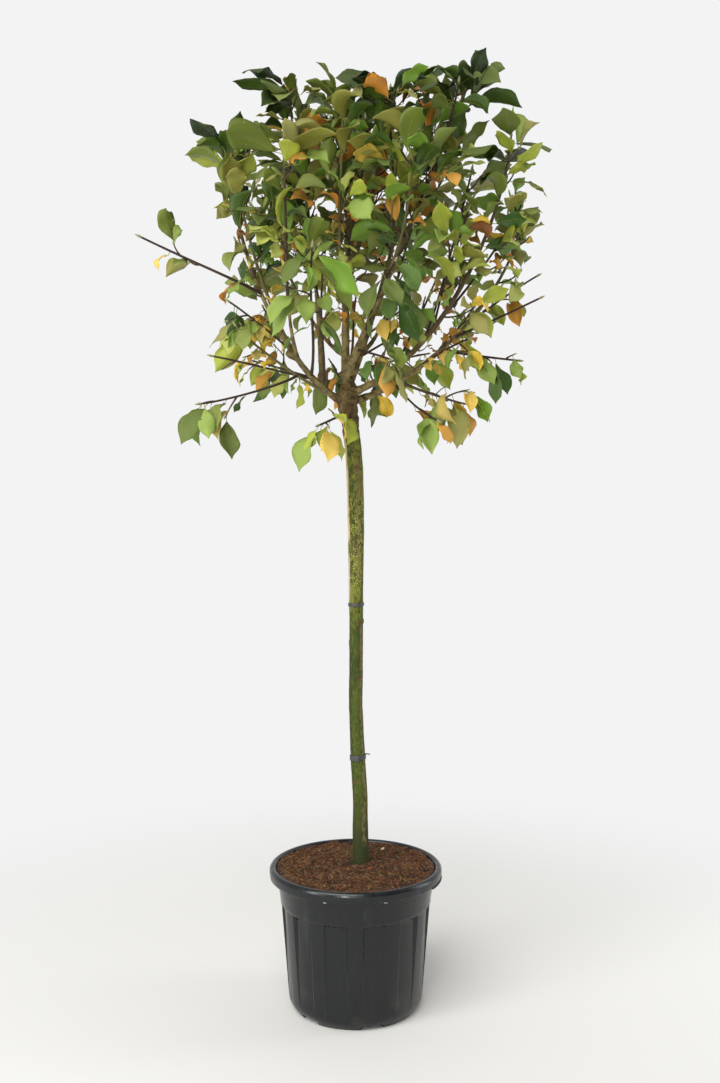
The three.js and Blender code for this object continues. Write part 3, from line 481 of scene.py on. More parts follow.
class Shader:
    """A material with short calls for the nodes that its looks need."""

    def __init__(self, name, colour, roughness, specular=0.5):
        self.material = bpy.data.materials.new(name)
        self.material.use_nodes = True
        self.tree = self.material.node_tree
        self.surface = self.tree.nodes["Principled BSDF"]
        self.place = self.add("TexCoord", {}).outputs["Object"]
        self.put("Base Color", colour)
        self.put("Roughness", roughness)
        self.put("Specular IOR Level", specular)

    def add(self, kind, inputs, **settings):
        return add_node(self.tree, kind, inputs, **settings)

    def put(self, name, value):
        """Gives one of the surface's own inputs a value or a node's output."""
        fill(self.tree, self.surface.inputs[name], value)

    def stretched(self, scale):
        """Places along the object, stretched by a share along each axis."""
        return self.add("Mapping", {"Vector": self.place, "Scale": scale}).outputs["Vector"]

    def noise(self, scale, detail=3.0, roughness=0.5, stretch=(1, 1, 1)):
        return self.add("TexNoise", {"Vector": self.stretched(stretch), "Scale": scale,
                                     "Detail": detail, "Roughness": roughness}).outputs["Fac"]

    def cells(self, scale, stretch=(1, 1, 1)):
        return self.add("TexVoronoi", {"Vector": self.stretched(stretch),
                                       "Scale": scale}).outputs["Distance"]

    def rising(self, low, high):
        """0 to 1 between two heights, in metres."""
        return self.spread(self.add("SeparateXYZ", {"Vector": self.place}).outputs["Z"], low, high)

    def painted(self, name):
        """A value that the mesh carries at each of its points."""
        return self.add("Attribute", {}, attribute_name=name).outputs["Fac"]

    def spread(self, source, low, high, to_low=0.0, to_high=1.0):
        """A source's range spread over another, smoothly."""
        return self.add("MapRange", {"Value": source, "From Min": low, "From Max": high,
                                     "To Min": to_low, "To Max": to_high},
                        interpolation_type="SMOOTHSTEP").outputs["Result"]

    def blend(self, share, first, second):
        """A mix of two colours; each is a colour or another node's output."""
        return self.add("Mix", {"Factor": share, 6: first, 7: second},
                        data_type="RGBA").outputs[2]

    def over(self, base, *layers):
        """A colour with layers of (share, sRGB tones) laid over it in turn."""
        for share, tones in layers:
            base = self.blend(share, base, tone(*tones))
        return base

    def times(self, first, second):
        return self.add("Math", {0: first, 1: second}, operation="MULTIPLY").outputs[0]

    def roughness(self, source, low, high):
        self.put("Roughness", self.spread(source, 0.3, 0.7, low, high))

    def bump(self, *layers):
        """Relief from layers of (height source, depth in millimetres)."""
        below = {}
        for source, depth in layers:
            node = self.add("Bump", {"Strength": 1.0, "Distance": depth * MM, "Height": source,
                                     **below})
            below = {"Normal": node.outputs["Normal"]}
        self.put("Normal", below["Normal"])


LEAF_SPECULAR = 0.3
BARK_SPECULAR = 0.25
FLOOR_SPECULAR = 0.1
# Heights on the stem, in metres: where the dark foot ends, where the smooth bark turns rugged,
# where pale flecks come and go, and where the head's brown begins.
DARK_FOOT = (0.62, 0.42)
RUGGED_FROM = (1.02, 1.14)
FLECKS_FROM, FLECKS_TO = (1.12, 1.2), (1.5, 1.32)
BROWN_FROM = (1.565, 1.6)
POT_DUST = (0.2, 0.01)                 # metres up, where dust clings to the pot
POT_CRUMBS = (0.394, 0.4)              # and crumbs of soil to its rim


def leaf_material(name, colour, roughness):
    shader = Shader(name, colour, roughness, LEAF_SPECULAR)
    shader.bump((shader.noise(150, 2), 0.06))
    shader.roughness(shader.noise(90, 2), roughness - 0.06, roughness + 0.08)
    return shader.material


def pot_material():
    """Black plastic with scuffs, dust round its foot and crumbs of soil on its rim."""
    shader = Shader("pot_plastic", tone(8, 10, 13), 0.3)
    scuffs = shader.noise(26, 6, 0.65, (1, 1, 0.12))
    dust = shader.times(shader.spread(shader.noise(9, 4, 0.6), 0.5, 0.8),
                        shader.rising(*POT_DUST))
    crumbs = shader.times(shader.spread(shader.noise(160, 4, 0.7), 0.56, 0.7),
                          shader.rising(*POT_CRUMBS))
    shader.put("Base Color", shader.over(
        tone(6, 9, 13),
        (shader.spread(scuffs, 0.54, 0.8), (38, 44, 50)),
        (shader.times(dust, 0.35), (84, 80, 72)),
        (shader.times(crumbs, 0.6), (104, 90, 72))))
    shader.roughness(scuffs, 0.18, 0.36)
    shader.bump((shader.noise(38, 3, 0.5, (1, 1, 0.1)), 0.8), (shader.noise(900, 3), 0.04))
    return shader.material


def soil_material():
    """Brown peat with patches and pale grains, with painted shade where its relief sinks."""
    shader = Shader("soil_peat", tone(74, 48, 30), 0.95)
    grains = shader.noise(420, 5, 0.7)
    # painted shade: the soil is darker where its relief sinks into hollows
    hollow_shade = shader.spread(shader.painted("relief"), 0.0, -3.5)
    shader.put("Base Color", shader.over(
        tone(30, 18, 10),
        (shader.spread(shader.noise(26, 5, 0.6), 0.38, 0.62), (92, 58, 32)),
        (shader.spread(grains, 0.45, 0.75), (108, 72, 40)),
        (shader.times(hollow_shade, 0.9), (22, 14, 9))))
    shader.bump((shader.noise(260, 6, 0.7), 3.0), (grains, 1.5))
    return shader.material


def small_material(name, colour, roughness=0.85, grain=1200, depth=0.3, **others):
    """One plain tone with a fine relief, for the many small bodies of a joined piece."""
    shader = Shader(name, colour, roughness, BARK_SPECULAR)
    for socket, value in others.items():
        shader.put(socket, value)
    rough = shader.noise(grain, 3)
    shader.roughness(rough, roughness - 0.1, min(1.0, roughness + 0.1))
    shader.bump((rough, depth))
    return shader.material


def small_materials(kind, tones, *finish):
    """A small material of each tone by name."""
    return [small_material(f"{kind}_{name}", tone(*rgb), *finish) for name, rgb in tones.items()]


def trunk_material():
    """Algae-green bark, brown at the head; higher up, streaks, scraped bark and painted highlight.
    """
    shader = Shader("trunk_bark", tone(72, 80, 32), 0.8, 0.22)
    streaks = shader.noise(42, 6, 0.7, (1, 1, 0.2))
    fine = shader.noise(190, 5, 0.72, (1, 1, 0.4))
    clouds = shader.noise(14, 6, 0.7, (1, 1, 0.5))
    patches = shader.noise(60, 6, 0.7)
    specks = shader.spread(shader.cells(280, (1, 1, 0.6)), 0.31, 0.17)
    flecked = shader.times(shader.rising(*FLECKS_FROM), shader.rising(*FLECKS_TO))
    flecks = shader.times(shader.times(specks, shader.spread(clouds, 0.42, 0.52)), flecked)
    shade = shader.times(shader.painted("shade"), shader.spread(fine, 0.62, 0.46))
    bare = shader.times(shader.painted("stripe"), shader.spread(fine, 0.4, 0.56))
    # painted highlight: a pale band down the stem's left side, partly scraped bark and partly
    # painted highlight
    scraped_and_highlight = shader.times(shader.painted("scraped_and_highlight"), shader.spread(fine, 0.3, 0.45))
    # painted shade: the bark is darker where its relief sinks, in clefts, knots' eyes and the graft
    cleft_shade = shader.spread(shader.painted("relief"), -0.6, -2.6)
    smooth = shader.over(
        tone(50, 62, 17),
        (shader.spread(clouds, 0.4, 0.62), (72, 84, 25)),
        (shader.times(shader.spread(fine, 0.5, 0.66), 0.6), (108, 104, 46)),
        (shader.times(shader.spread(fine, 0.46, 0.36), 0.6), (34, 42, 14)),
        (shader.rising(*DARK_FOOT), (46, 52, 22)))
    rugged = shader.over(
        tone(36, 46, 12),
        (shader.spread(fine, 0.38, 0.6), (110, 114, 38)),
        (shader.spread(clouds, 0.5, 0.6), (112, 112, 44)),
        (shader.spread(streaks, 0.55, 0.61), (92, 74, 44)),
        (flecks, (204, 206, 118)))
    green = shader.over(
        shader.blend(shader.rising(*RUGGED_FROM), smooth, rugged),
        (shader.times(shade, 0.8), (44, 52, 18)),
        (shader.times(bare, 0.75), (122, 104, 66)),
        (scraped_and_highlight, (196, 170, 132)))
    brown = shader.over(
        tone(62, 48, 26),
        (shader.spread(patches, 0.4, 0.6), (106, 88, 52)),
        (shader.spread(fine, 0.5, 0.7), (90, 84, 42)))
    shader.put("Base Color", shader.over(
        shader.blend(shader.rising(*BROWN_FROM), green, brown),
        (shader.painted("knot"), (84, 60, 34)),
        (shader.times(cleft_shade, 0.8), (32, 26, 14))))
    shader.roughness(fine, 0.62, 0.85)
    shader.bump((streaks, 1.2), (shader.noise(420, 5, 0.65, (1, 1, 0.5)), 0.8), (fine, 0.8))
    return shader.material


def bough_material():
    """Smooth olive-brown bark with pale lenticels and painted shade in its clefts."""
    shader = Shader("bough_bark", tone(106, 92, 62), 0.75, BARK_SPECULAR)
    fine = shader.noise(260, 4, 0.6)
    # painted shade: the bark is darker where its relief sinks
    cleft_shade = shader.spread(shader.painted("relief"), -0.1, -0.8)
    lenticels = shader.spread(shader.cells(210), 0.15, 0.08)
    shader.put("Base Color", shader.over(
        tone(84, 72, 44),
        (shader.spread(shader.noise(38, 5, 0.65), 0.38, 0.62), (136, 120, 76)),
        (shader.spread(fine, 0.52, 0.72), (98, 96, 48)),
        (shader.times(cleft_shade, 0.6), (58, 46, 28)),
        (lenticels, (160, 146, 106))))
    shader.roughness(fine, 0.6, 0.85)
    shader.bump((shader.noise(150, 5, 0.6), 1.0), (lenticels, 0.35), (fine, 0.3))
    return shader.material


# Dark bark of the young wood, in three plain tones.
WAND_TONES = {"dark": (58, 44, 34), "brown": (82, 66, 44), "olive": (98, 90, 54)}
WAND_FINISH = (0.6, 420, 0.4)          # roughness, grain and depth of its relief
DARK_BARK, BROWN_BARK, OLIVE_BARK = range(3)
DARK_LIMB = 9                          # below this diameter at its foot a limb is dark

# Upper and under tone of each tint that the sprays are dealt.
LEAF_TINTS = {
    "deep": (tone(34, 50, 15), tone(62, 76, 32)),
    "forest": (tone(56, 84, 26), tone(84, 108, 48)),
    "green": (tone(60, 82, 22), tone(92, 106, 46)),
    "moss": (tone(98, 112, 40), tone(122, 132, 64)),
    "olive": (tone(128, 126, 54), tone(142, 140, 76)),
    "fresh": (tone(108, 142, 46), tone(134, 154, 72)),
    "lime": (tone(154, 164, 58), tone(164, 170, 84)),
    "spring": (tone(150, 162, 38), tone(160, 168, 62)),
    "gold": (tone(184, 158, 60), tone(184, 166, 88)),
    "yellow": (tone(222, 186, 62), tone(214, 184, 90)),
    "orange": (tone(188, 124, 38), tone(186, 138, 58)),
    "rust": (tone(122, 76, 38), tone(138, 98, 58)),
}
# The tints of the sprays whose leaves stand apart in the photo.
LIMB_TINTS = {
    "trunk_spur": ("spring", "fresh", "yellow", "spring", "spring", "spring"),
    "front_left_spray": ("fresh", "green", "fresh", "moss"),
    "front_right_spray": ("forest", "green", "forest", "green"),
    "low_left_spray": ("green", "moss", "fresh", "gold"),
}
AUTUMN = ("gold", "yellow", "orange", "rust")
AUTUMN_SIZE = (0.6, 0.9)               # old leaves have shrunk
GREENS = (("deep", 0.18), ("green", 0.38), ("moss", 0.58), ("olive", 0.74), ("fresh", 0.91))
GOLD_SHARE = 0.2                       # of the autumn leaves
YELLOW_SHARE = 0.4                     # of the autumn leaves at the crown's foot
RUST_FROM = 0.92                       # the other autumn leaves are orange
FOREST_SHARE = 0.12                    # of the sprays low in the crown are dark bluish green
LOW_CROWN = (2400, 1850)               # heights from which the crown is low, bit by bit
# How often a leaf has an autumn tint, by height, by its own age and by its spray's draw.
AUTUMN_SHARE = ((1600, 1850, 2000, 2150, 2300, 2450), (0.85, 0.74, 0.3, 0.34, 0.38, 0.22))
AUTUMN_BY_AGE = (0.15, 1.3)
AUTUMN_BY_SPRAY = (0.2, 1.6)
AUTUMN_POWER = 1.5
# A green's shade is drawn for the spray and for the leaf; how widely it varies and how much paler
# it is, by height: darker near the crown's top, partly the leaves' own colour and partly painted
# shade, and paler lower down, partly their own colour and partly painted light.
SPRAY_WEIGHT, LEAF_WEIGHT = 0.6, 0.4
SHADE_CONTRAST = 1.4
SHADE_RANGE = ((2300, 2460), (0.94, 0.64))
SHADE_LIFT = ((1900, 2200, 2420), (0.28, 0.17, 0.0))
LEAF_GLOSS = 0.42                      # roughness of the two sides
UNDERSIDE_GLOSS = 0.66

# ---------------------------------------------------------------- the trunk's line

STATION_SLACK = 0.3                    # how uneven a ring of the CAD trunk may be


def trunk_stations():
    """Height, centre and radius of each ring of the CAD trunk."""
    points = mesh_points(frame["nodes"]["trunk"].data)
    stations = []
    for height in np.unique(points[:, 2].round(1)):
        ring = points[abs(points[:, 2] - height) < STATION_SLACK]
        left, right = ring[:, 0].min(), ring[:, 0].max()
        stations.append((height, (left + right) / 2, (right - left) / 2))
    return np.array(stations)


STATIONS = trunk_stations()
TRUNK_SWAY = 4
TRUNK_SWAY_WAVE = 320


def trunk_point(height):
    lean = np.interp(height, STATIONS[:, 0], STATIONS[:, 1])
    return np.array([lean, TRUNK_SWAY * math.sin(height / TRUNK_SWAY_WAVE), height])


def trunk_radius(height):
    return float(np.interp(height, STATIONS[:, 0], STATIONS[:, 2]))


# ---------------------------------------------------------------- limbs


class Limb:
    """One line of growth, from its foot on its parent to the tip of its shoot."""

    def __init__(self, name, row, index, settled):
        self.name = name
        self.__dict__.update(zip(LIMB_FIELDS, row))
        self.phase = 2 * math.pi * seeded_random(PHASE_SEED + index)()
        self.seed = GROWTH_SEED + index
        if self.parent == "trunk":
            self.start = trunk_point(self.at)
        else:
            self.start = settled[self.parent].point(self.at)
        angle = math.radians(self.azimuth)
        self.end = np.array([CROWN_CENTRE[0] + self.reach * math.cos(angle),
                             CROWN_CENTRE[1] + self.reach * math.sin(angle), self.top])
        self.length = float(np.linalg.norm(self.end - self.start))

    def point(self, share):
        level = 1 - (1 - share) ** self.bow
        rise = share ** self.bow
        dx, dy, dz = self.end - self.start
        run = math.hypot(dx, dy)
        turn = math.sin(self.phase + LIMB_WIGGLE_TURNS * share) - math.sin(self.phase)
        wander = LIMB_WIGGLE * min(1, self.length / LIMB_WIGGLE_LENGTH) * turn
        wander *= 1 - LIMB_WIGGLE_LOSS * share
        return self.start + np.array([dx * level - wander * dy / run,
                                      dy * level + wander * dx / run, dz * rise])

    def radius(self, share):
        collar = LIMB_COLLAR * self.foot * math.exp(-share * self.length / LIMB_COLLAR_LENGTH)
        return (mix(self.foot, LIMB_TIP, share ** LIMB_TAPER) + collar) / 2

    def stretch(self, low, high, step):
        """Points about a step apart from one share of the limb to another, and the radii."""
        count = max(2, round((high - low) * self.length / step))
        shares = [mix(low, high, i / count) for i in range(count + 1)]
        return (np.array([self.point(share) for share in shares]),
                np.array([self.radius(share) for share in shares]))

    def way(self, share, ahead=0.02):
        """The direction of growth, from one share of the limb to a share ahead."""
        return unit(self.point(min(1, share + ahead)) - self.point(share))

    def tip_way(self):
        return self.way(0.97, 0.03)


def settle_limbs():
    """All limbs by name, each settled after its parent."""
    settled = {}
    for index, (name, row) in enumerate([*LIMBS.items(), *FINE_WANDS.items()]):
        settled[name] = Limb(name, row, index, settled)
    return settled


# ---------------------------------------------------------------- the crown's space


def inside_outline(points):
    """Whether the points lie within the crown's outline, seen from the camera's side."""
    seen = points[:, 0] * EYE_DISTANCE / (EYE_DISTANCE + points[:, 1])
    heights, left, right = np.array(CROWN_EDGE, float).T
    low, high = (np.interp(points[:, 2], heights, edge) for edge in (left, right))
    in_saddle = (seen > SADDLE[0]) & (seen < SADDLE[1]) & (points[:, 2] > SADDLE[2])
    return bool(((seen > low) & (seen < high) & ~in_saddle).all())


class CrownSpace:
    """What lies nearer to a mass's own stem than to any other, clear of trunk and boughs."""

    def __init__(self, limbs):
        lines = [limb.stretch(limb.split, 1, LIMB_STEP)[0] for limb in limbs.values()]
        self.starts = np.concatenate([line[:-1] for line in lines])
        self.runs = np.concatenate([line[1:] - line[:-1] for line in lines])
        self.run_squares = (self.runs ** 2).sum(axis=1)
        counts = [len(line) - 1 for line in lines]
        self.firsts = np.cumsum([0, *counts[:-1]])
        self.names = list(limbs)
        bare = [limb.stretch(0, limb.split, WOOD_STEP) for limb in limbs.values() if limb.split]
        heights = np.arange(STATIONS[0, 0], STATIONS[-1, 0], WOOD_STEP)
        stem = [trunk_point(height) for height in heights], [TRUNK_ROOM] * len(heights)
        centres, radii = zip(*bare, old_cut(limbs), stem)
        self.centres = np.concatenate(centres)
        self.radii = np.concatenate(radii)
        self.wood = [np.stack([self.starts, self.starts + self.runs], axis=1)]

    def owns(self, name, points, anywhere=False):
        """Whether all the points are in a limb's own space, or else only in the crown."""
        if (points < REACH_LOW + REACH_MARGIN).any() or (points > REACH_HIGH - REACH_MARGIN).any():
            return False
        if name not in OUTER_SHOOTS and not inside_outline(points):
            return False
        if anywhere:
            return True
        offsets = points[:, None] - self.starts[None]
        shares = np.clip((offsets * self.runs).sum(axis=2) / self.run_squares, 0, 1)
        away = np.linalg.norm(offsets - shares[..., None] * self.runs, axis=2)
        nearest = np.minimum.reduceat(away, self.firsts, axis=1)
        index = self.names.index(name)
        own = nearest[:, index].copy()
        nearest[:, index] = np.inf
        return bool((nearest.min(axis=1) > own - SPACE_SLACK).all())

    def clear_of_limbs(self, leaf):
        """Whether a leaf keeps off the bare wood of the trunk and the limbs."""
        offsets = self.centres - leaf.base
        room = self.radii + LIMB_MARGIN
        run = offsets @ leaf.along
        aside = abs(offsets @ leaf.across)
        above = abs(offsets @ leaf.normal)
        near = ((run > leaf.length * LEAF_CLEAR_OF - room) & (run < leaf.length + room)
                & (above < room + LEAF_FOLD * leaf.length)
                & (aside < leaf.half_width(run) + room))
        return not near.any()

    def clear_of_wood(self, leaf):
        """Whether no leafy stem or twig goes through a leaf."""
        return not leaf.crossed_by(np.concatenate(self.wood))

    def twig_clear(self, points, placed):
        """Whether a twig keeps off the bare wood and goes through none of the leaves."""
        away = np.linalg.norm(points[:, None] - self.centres[None], axis=2)
        if not (away > self.radii + LIMB_MARGIN + TWIG_FOOT).all():
            return False
        return not any(leaf.crossed_by(points[None]) for leaf in placed
                       if np.linalg.norm(leaf.middle - points[0]) < 2 * LEAF_LENGTH)


class Leaf:
    """One leaf's place: its foot, its directions and its size."""

    # Where the lines along its middle and rims have points, as shares of its length.
    LINE_SHARES = np.array([LEAF_CLEAR_OF, 0.27, LEAF_BELLY, (LEAF_BELLY + LEAF_SHOULDER) / 2,
                            LEAF_SHOULDER, 0.86, 1])

    def __init__(self, base, along, across, normal, length):
        self.base, self.along, self.across, self.normal = base, along, across, normal
        self.length = length
        self.width = length * LEAF_WIDTH
        self.middle = base + along * (length / 2)
        runs = self.LINE_SHARES * length
        halves = self.half_width(runs)
        self.lines = np.array([
            base + np.outer(runs, along) + side * np.outer(halves, across)
            - abs(side) * np.outer(self.drop(halves), normal) for side in (-1, 0, 1)])

    def half_width(self, run):
        return np.interp(run / self.length, (0, LEAF_BELLY, LEAF_SHOULDER, 1), (0, 1, 1, 0),
                         left=0, right=0) * self.width / 2

    def drop(self, side):
        """How far the blade hangs at a distance to one side."""
        return LEAF_FOLD * self.length * abs(side) / (self.width / 2)

    def crossed_by(self, lines):
        """Whether one of the lines, each a row of points, goes through the blade."""
        offsets = lines - self.base
        side = offsets @ self.across
        lift = offsets @ self.normal + self.drop(side)
        run = offsets @ self.along
        crossing = lift[:, 1:] * lift[:, :-1] <= 0
        if not crossing.any():
            return False
        span = lift[:, :-1] - lift[:, 1:]
        share = lift[:, :-1] / np.where(abs(span) < 1e-9, 1e-9, span)
        at_side = abs(mix(side[:, :-1], side[:, 1:], share))
        half = self.half_width(mix(run[:, :-1], run[:, 1:], share))
        return bool((crossing & (half > 0) & (at_side < half + LEAF_MARGIN)).any())

    def apart_from(self, other):
        """Whether two leaves keep off each other's middles and don't cross."""
        distance = np.linalg.norm(self.middle - other.middle)
        if distance < LEAF_APART:
            return False
        if distance > (self.length + other.length) / 2:
            return True
        return not self.crossed_by(other.lines) and not other.crossed_by(self.lines)


def side_ways(way):
    """Two directions square to a line of growth."""
    side = unit(np.cross(helper_for(way), way))
    return side, np.cross(way, side)


def opened(way, turn, lean):
    """The direction that leans away from a line of growth, a turn round it."""
    side, front = side_ways(way)
    return (way * math.cos(lean) + side * (math.cos(turn) * math.sin(lean))
            + front * (math.sin(turn) * math.sin(lean)))


class Twig:
    """A bare twig, bent in the middle: its three points, its two directions, its length and
    whether it is one of the fine ones."""

    def __init__(self, points, along, rising, reach, fine=False):
        self.points, self.along, self.rising = points, along, rising
        self.reach, self.fine = reach, fine


class Mass:
    """A limb's foliage: its stem, twigs, twiglets and leaves, grown by turns at the golden
    angle round each line of growth."""

    def __init__(self, limb, space, placed):
        self.limb, self.space, self.placed = limb, space, placed
        self.random = seeded_random(limb.seed)
        self.twigs = []
        self.leaves = []
        self.sprays = 0

    def add_leaf(self, base, way, turn, lean_range, age, size=1.0, anywhere=False):
        """A leaf at the first turn where it has room, if there is one."""
        random = self.random
        turn += TURN_SPREAD * (random() - 0.5)
        lean = mix(*lean_range, random())
        high = smooth_step(*HANG_HEIGHTS, base[2])
        roll = mix(*LEAF_ROLL, high) * (random() - 0.5)
        length = LEAF_LENGTH * size * (1 + LEAF_SPREAD * (2 * random() - 1))
        low_size = LIMB_LEAF_SIZE.get(self.limb.name, LOW_LEAF_SIZE)
        length *= mix(low_size, 1, smooth_step(*SIZE_HEIGHTS, base[2]))
        for attempt in range(TURNS):
            along = opened(way, turn + attempt * GOLDEN_ANGLE,
                           lean * (1 - LEAN_LOST * attempt / TURNS))
            along[2] -= self.limb.droop + mix(*LEAF_HANG, high)
            along = unit(along)
            level = UP if abs(along[2]) < PLUMB else side_ways(way)[0]
            across = unit(np.cross(level, along))
            normal = np.cross(along, across)
            turned = across * math.cos(roll) + normal * math.sin(roll)
            normal = normal * math.cos(roll) - across * math.sin(roll)
            leaf = Leaf(base, along, turned, normal, length)
            if (self.space.owns(self.limb.name, leaf.lines.reshape(-1, 3), anywhere)
                    and self.space.clear_of_limbs(leaf) and self.space.clear_of_wood(leaf)
                    and all(leaf.apart_from(other) for other in self.placed)):
                leaf.limb, leaf.spray, leaf.age = self.limb, self.sprays, age
                self.placed.append(leaf)
                self.leaves.append(leaf)
                return

    def add_twig(self, base, way, turn, lean, length):
        """A bare twig at the first turn where it has room, or None."""
        rise = TWIG_SAG if self.limb.droop > DROOPING else TWIG_RISE
        for attempt in range(TURNS):
            reach = length * (1 - TWIG_SHORTENED * attempt / TURNS)
            along = opened(way, turn + attempt * GOLDEN_ANGLE, lean)
            middle = base + along * (reach / 2)
            rising = unit(along + UP * rise)
            tip = middle + rising * (reach / 2)
            samples = np.array([middle, (middle + tip) / 2, tip])
            if (self.space.owns(self.limb.name, samples)
                    and self.space.twig_clear(samples, self.placed)):
                twig = Twig(np.array([base, middle, tip]), along, rising, reach)
                self.twigs.append(twig)
                self.space.wood.append(np.array([[base, middle], [middle, tip]]))
                return twig
        return None

    def leaf_out(self, twig, turn):
        """Leaves along a twig, some on twiglets of their own, and one at its tip."""
        base, middle, tip = twig.points
        count = max(1, int(twig.reach // TWIG_LEAF_SPACING))
        for j in range(1, count + 1):
            share = j / count
            if share < 0.5:
                foot, way = mix(base, middle, share * 2), twig.along
            else:
                foot, way = mix(middle, tip, min(TWIG_END, share * 2 - 1)), twig.rising
            around = turn + j * GOLDEN_ANGLE
            if j % TWIGLET_EVERY == 0 and j < count and self.add_twiglet(foot, way, around):
                continue
            self.add_leaf(foot, way, around, LEAN["twig_leaf"], 1 - share)
        self.add_leaf(mix(tip, middle, TIP_LEAF_BACK), twig.rising, turn,
                      LEAN["twig_tip_leaf"], AGE["twig_tip_leaf"])

    def add_twiglet(self, foot, way, around):
        """A twiglet with two leaves near its tip and one on it, or None where it has no room."""
        length = TWIGLET_LENGTH * mix(*TWIG_LENGTHS, self.random())
        twiglet = self.add_twig(foot, way, around, mix(*LEAN["twiglet"], self.random()), length)
        if twiglet:
            twiglet.fine = True
            _, middle, tip = twiglet.points
            first, step = TWIGLET_PAIR
            for k in range(2):
                self.add_leaf(mix(tip, middle, first + step * k), twiglet.rising,
                              around + k * math.pi, LEAN["twiglet_leaf"], AGE["twiglet_leaf"])
            self.add_leaf(tip, twiglet.rising, around + TWIGLET_TIP_TURN,
                          LEAN["twiglet_tip_leaf"], AGE["twiglet_tip_leaf"])
        return twiglet

    def add_spurs(self):
        """Short leafy spurs on the bare bough below the mass."""
        limb, random = self.limb, self.random
        bare = limb.split * limb.length
        run = SPUR_CLEAR
        while run < bare:
            share = run / limb.length
            base, way = limb.point(share), limb.way(share)
            turn = run * SPUR_TURN + limb.phase
            self.sprays += 1
            side = opened(way, turn, mix(*LEAN["spur"], random()))
            reach = SPUR_LENGTH * mix(*SPUR_LENGTHS, random())
            out = base + side * (limb.radius(share) - SPUR_SUNK)
            points = np.array([out, out + side * reach / 2,
                               out + unit(side + UP * SPUR_RISE) * reach])
            if random() < SPUR_SHARE:
                self.twigs.append(Twig(points, side, side, reach, fine=True))
                for j in range(SPUR_LEAVES):
                    self.add_leaf(mix(points[2], points[1], SPUR_LEAF_SHARE * j), side,
                                  turn + j * GOLDEN_ANGLE, LEAN["spur_leaf"], AGE["spur_leaf"],
                                  mix(*SPUR_LEAF_SIZES, random()), anywhere=True)
            run += SPUR_SPACING * mix(*SPUR_SPACINGS, random())

    def grow(self):
        """Spurs, then twigs and leaves along the stem, then the leaves round its tip."""
        self.add_spurs()
        limb, random = self.limb, self.random
        sites = int((1 - limb.split) * limb.length // SITE_SPACING)
        leafy = sites if limb.ring else sites * LEAFY_SHARE
        for k in range(1, math.ceil(leafy)):
            share = mix(limb.split, 1, k / sites)
            base, way = limb.point(share), limb.way(share)
            turn = k * GOLDEN_ANGLE + limb.phase
            kept = random() < limb.fill
            length = limb.twig * mix(1, TWIG_LAST, k / sites) * mix(*TWIG_LENGTHS, random())
            lean = mix(*LEAN["twig"], random())
            if kept and k % TWIG_EVERY == 0:
                self.sprays += 1
                twig = self.add_twig(base, way, turn, lean, length)
                if twig:
                    self.leaf_out(twig, turn)
            elif kept:
                self.add_leaf(base, way, turn, LEAN["stem_leaf"], 1 - k / sites)
        self.sprays += 1
        for j in range(limb.ring):
            base = limb.point(1 - RING_SPACING * (j + RING_START) / limb.length)
            self.add_leaf(base, limb.tip_way(), limb.phase + j * GOLDEN_ANGLE,
                          LEAN["ring_leaf"], AGE["ring_leaf"] + AGE["next_ring_leaf"] * j,
                          TIP_LEAF_SIZES.get(limb.name, TIP_LEAF_SIZE))
        return self


# ---------------------------------------------------------------- trunk and boughs

TRUNK_SKIN = (2.4, 5)                  # grain of the bark's mesh and rounds of smoothing
BOUGH_SKIN = (2.6, 4)
SKIN_SMOOTHING = 0.5                   # of each round
TRUNK_TOP = STATIONS[-1, 0]
HEAD_FOOT = 1535                       # the knobbly head begins above the graft
GRAFT = 1597
HEAD_FULL = GRAFT + 30                 # all knobs from here up
WAIST_DEPTH = 3.6                      # the stem is slimmer at the graft
WAIST_LENGTH = 26
SEAM_DEPTH, SEAM_WIDTH = 1.8, 4.0      # the line of the graft itself
STEM_LIMIT = 24.0                      # the stem goes into the soil without a flare
BOUGH_ROOT = 95                        # how far the trunk's skin runs out along its boughs
ROOT_SWELL = (3.5, -2.5)               # how much thicker it is there, from foot to end
BOUGH_OVERLAP = 6                      # how far bare wood runs on into the leafy stem

# Layers of relief: how many millimetres across the bumps are along each axis, how proud they
# stand, and where their noise is taken.
STEM_LAYERS = (((8, 8, 70), 0.9, 0), ((20, 20, 90), 1.3, 7), ((4, 4, 14), 0.45, 3))
HEAD_LAYERS = (((24, 24, 18), 3.4, 5), ((8, 8, 10), 1.3, 9))
BOUGH_LAYERS = (((13, 13, 22), 0.8, 11), ((5, 5, 8), 0.45, 13))
WAND_LAYERS = (((6, 6, 9), 0.25, 17),)

# Knots on the stem: height, azimuth, radius and how far they stand out.
KNOTS = (
    (1066, -60, 9, 3.2), (1069, -6, 5, 5.0), (914, -60, 8, 2.4), (626, -118, 8, 2.2),
    (581, -48, 7, 2.0), (545, -48, 7, 1.8), (1240, 40, 8, 2.4), (1385, 150, 9, 2.6),
    (760, 110, 8, 2.2), (1490, -80, 10, 3.0), (1008, 170, 8, 2.4), (1610, -60, 12, 4.0),
    (1648, -100, 12, 4.5), (1560, 60, 10, 3.6), (1640, 30, 12, 4.0), (1585, 170, 10, 3.6),
)
KNOT_STRETCH = (1, 1, 0.8)             # knots are taller than wide
KNOT_STEEPNESS = 1.6
KNOT_EYE = (0.95, 0.33)                # depth of the eye, of how proud it stands, and radius
KNOT_STAIN = 0.75                      # radius of the brown round the eye, of the knot's

OLD_CUT_PARENT, OLD_CUT_AT = "left_bough", 0.31
OLD_CUT_WAY = (-0.8, -0.35, 0.5)
OLD_CUT_REACH = 34
OLD_CUT_BULGE = 0.6                    # share of its reach where it is thickest
OLD_CUT_RADII = (8, 11.5, 8.5)

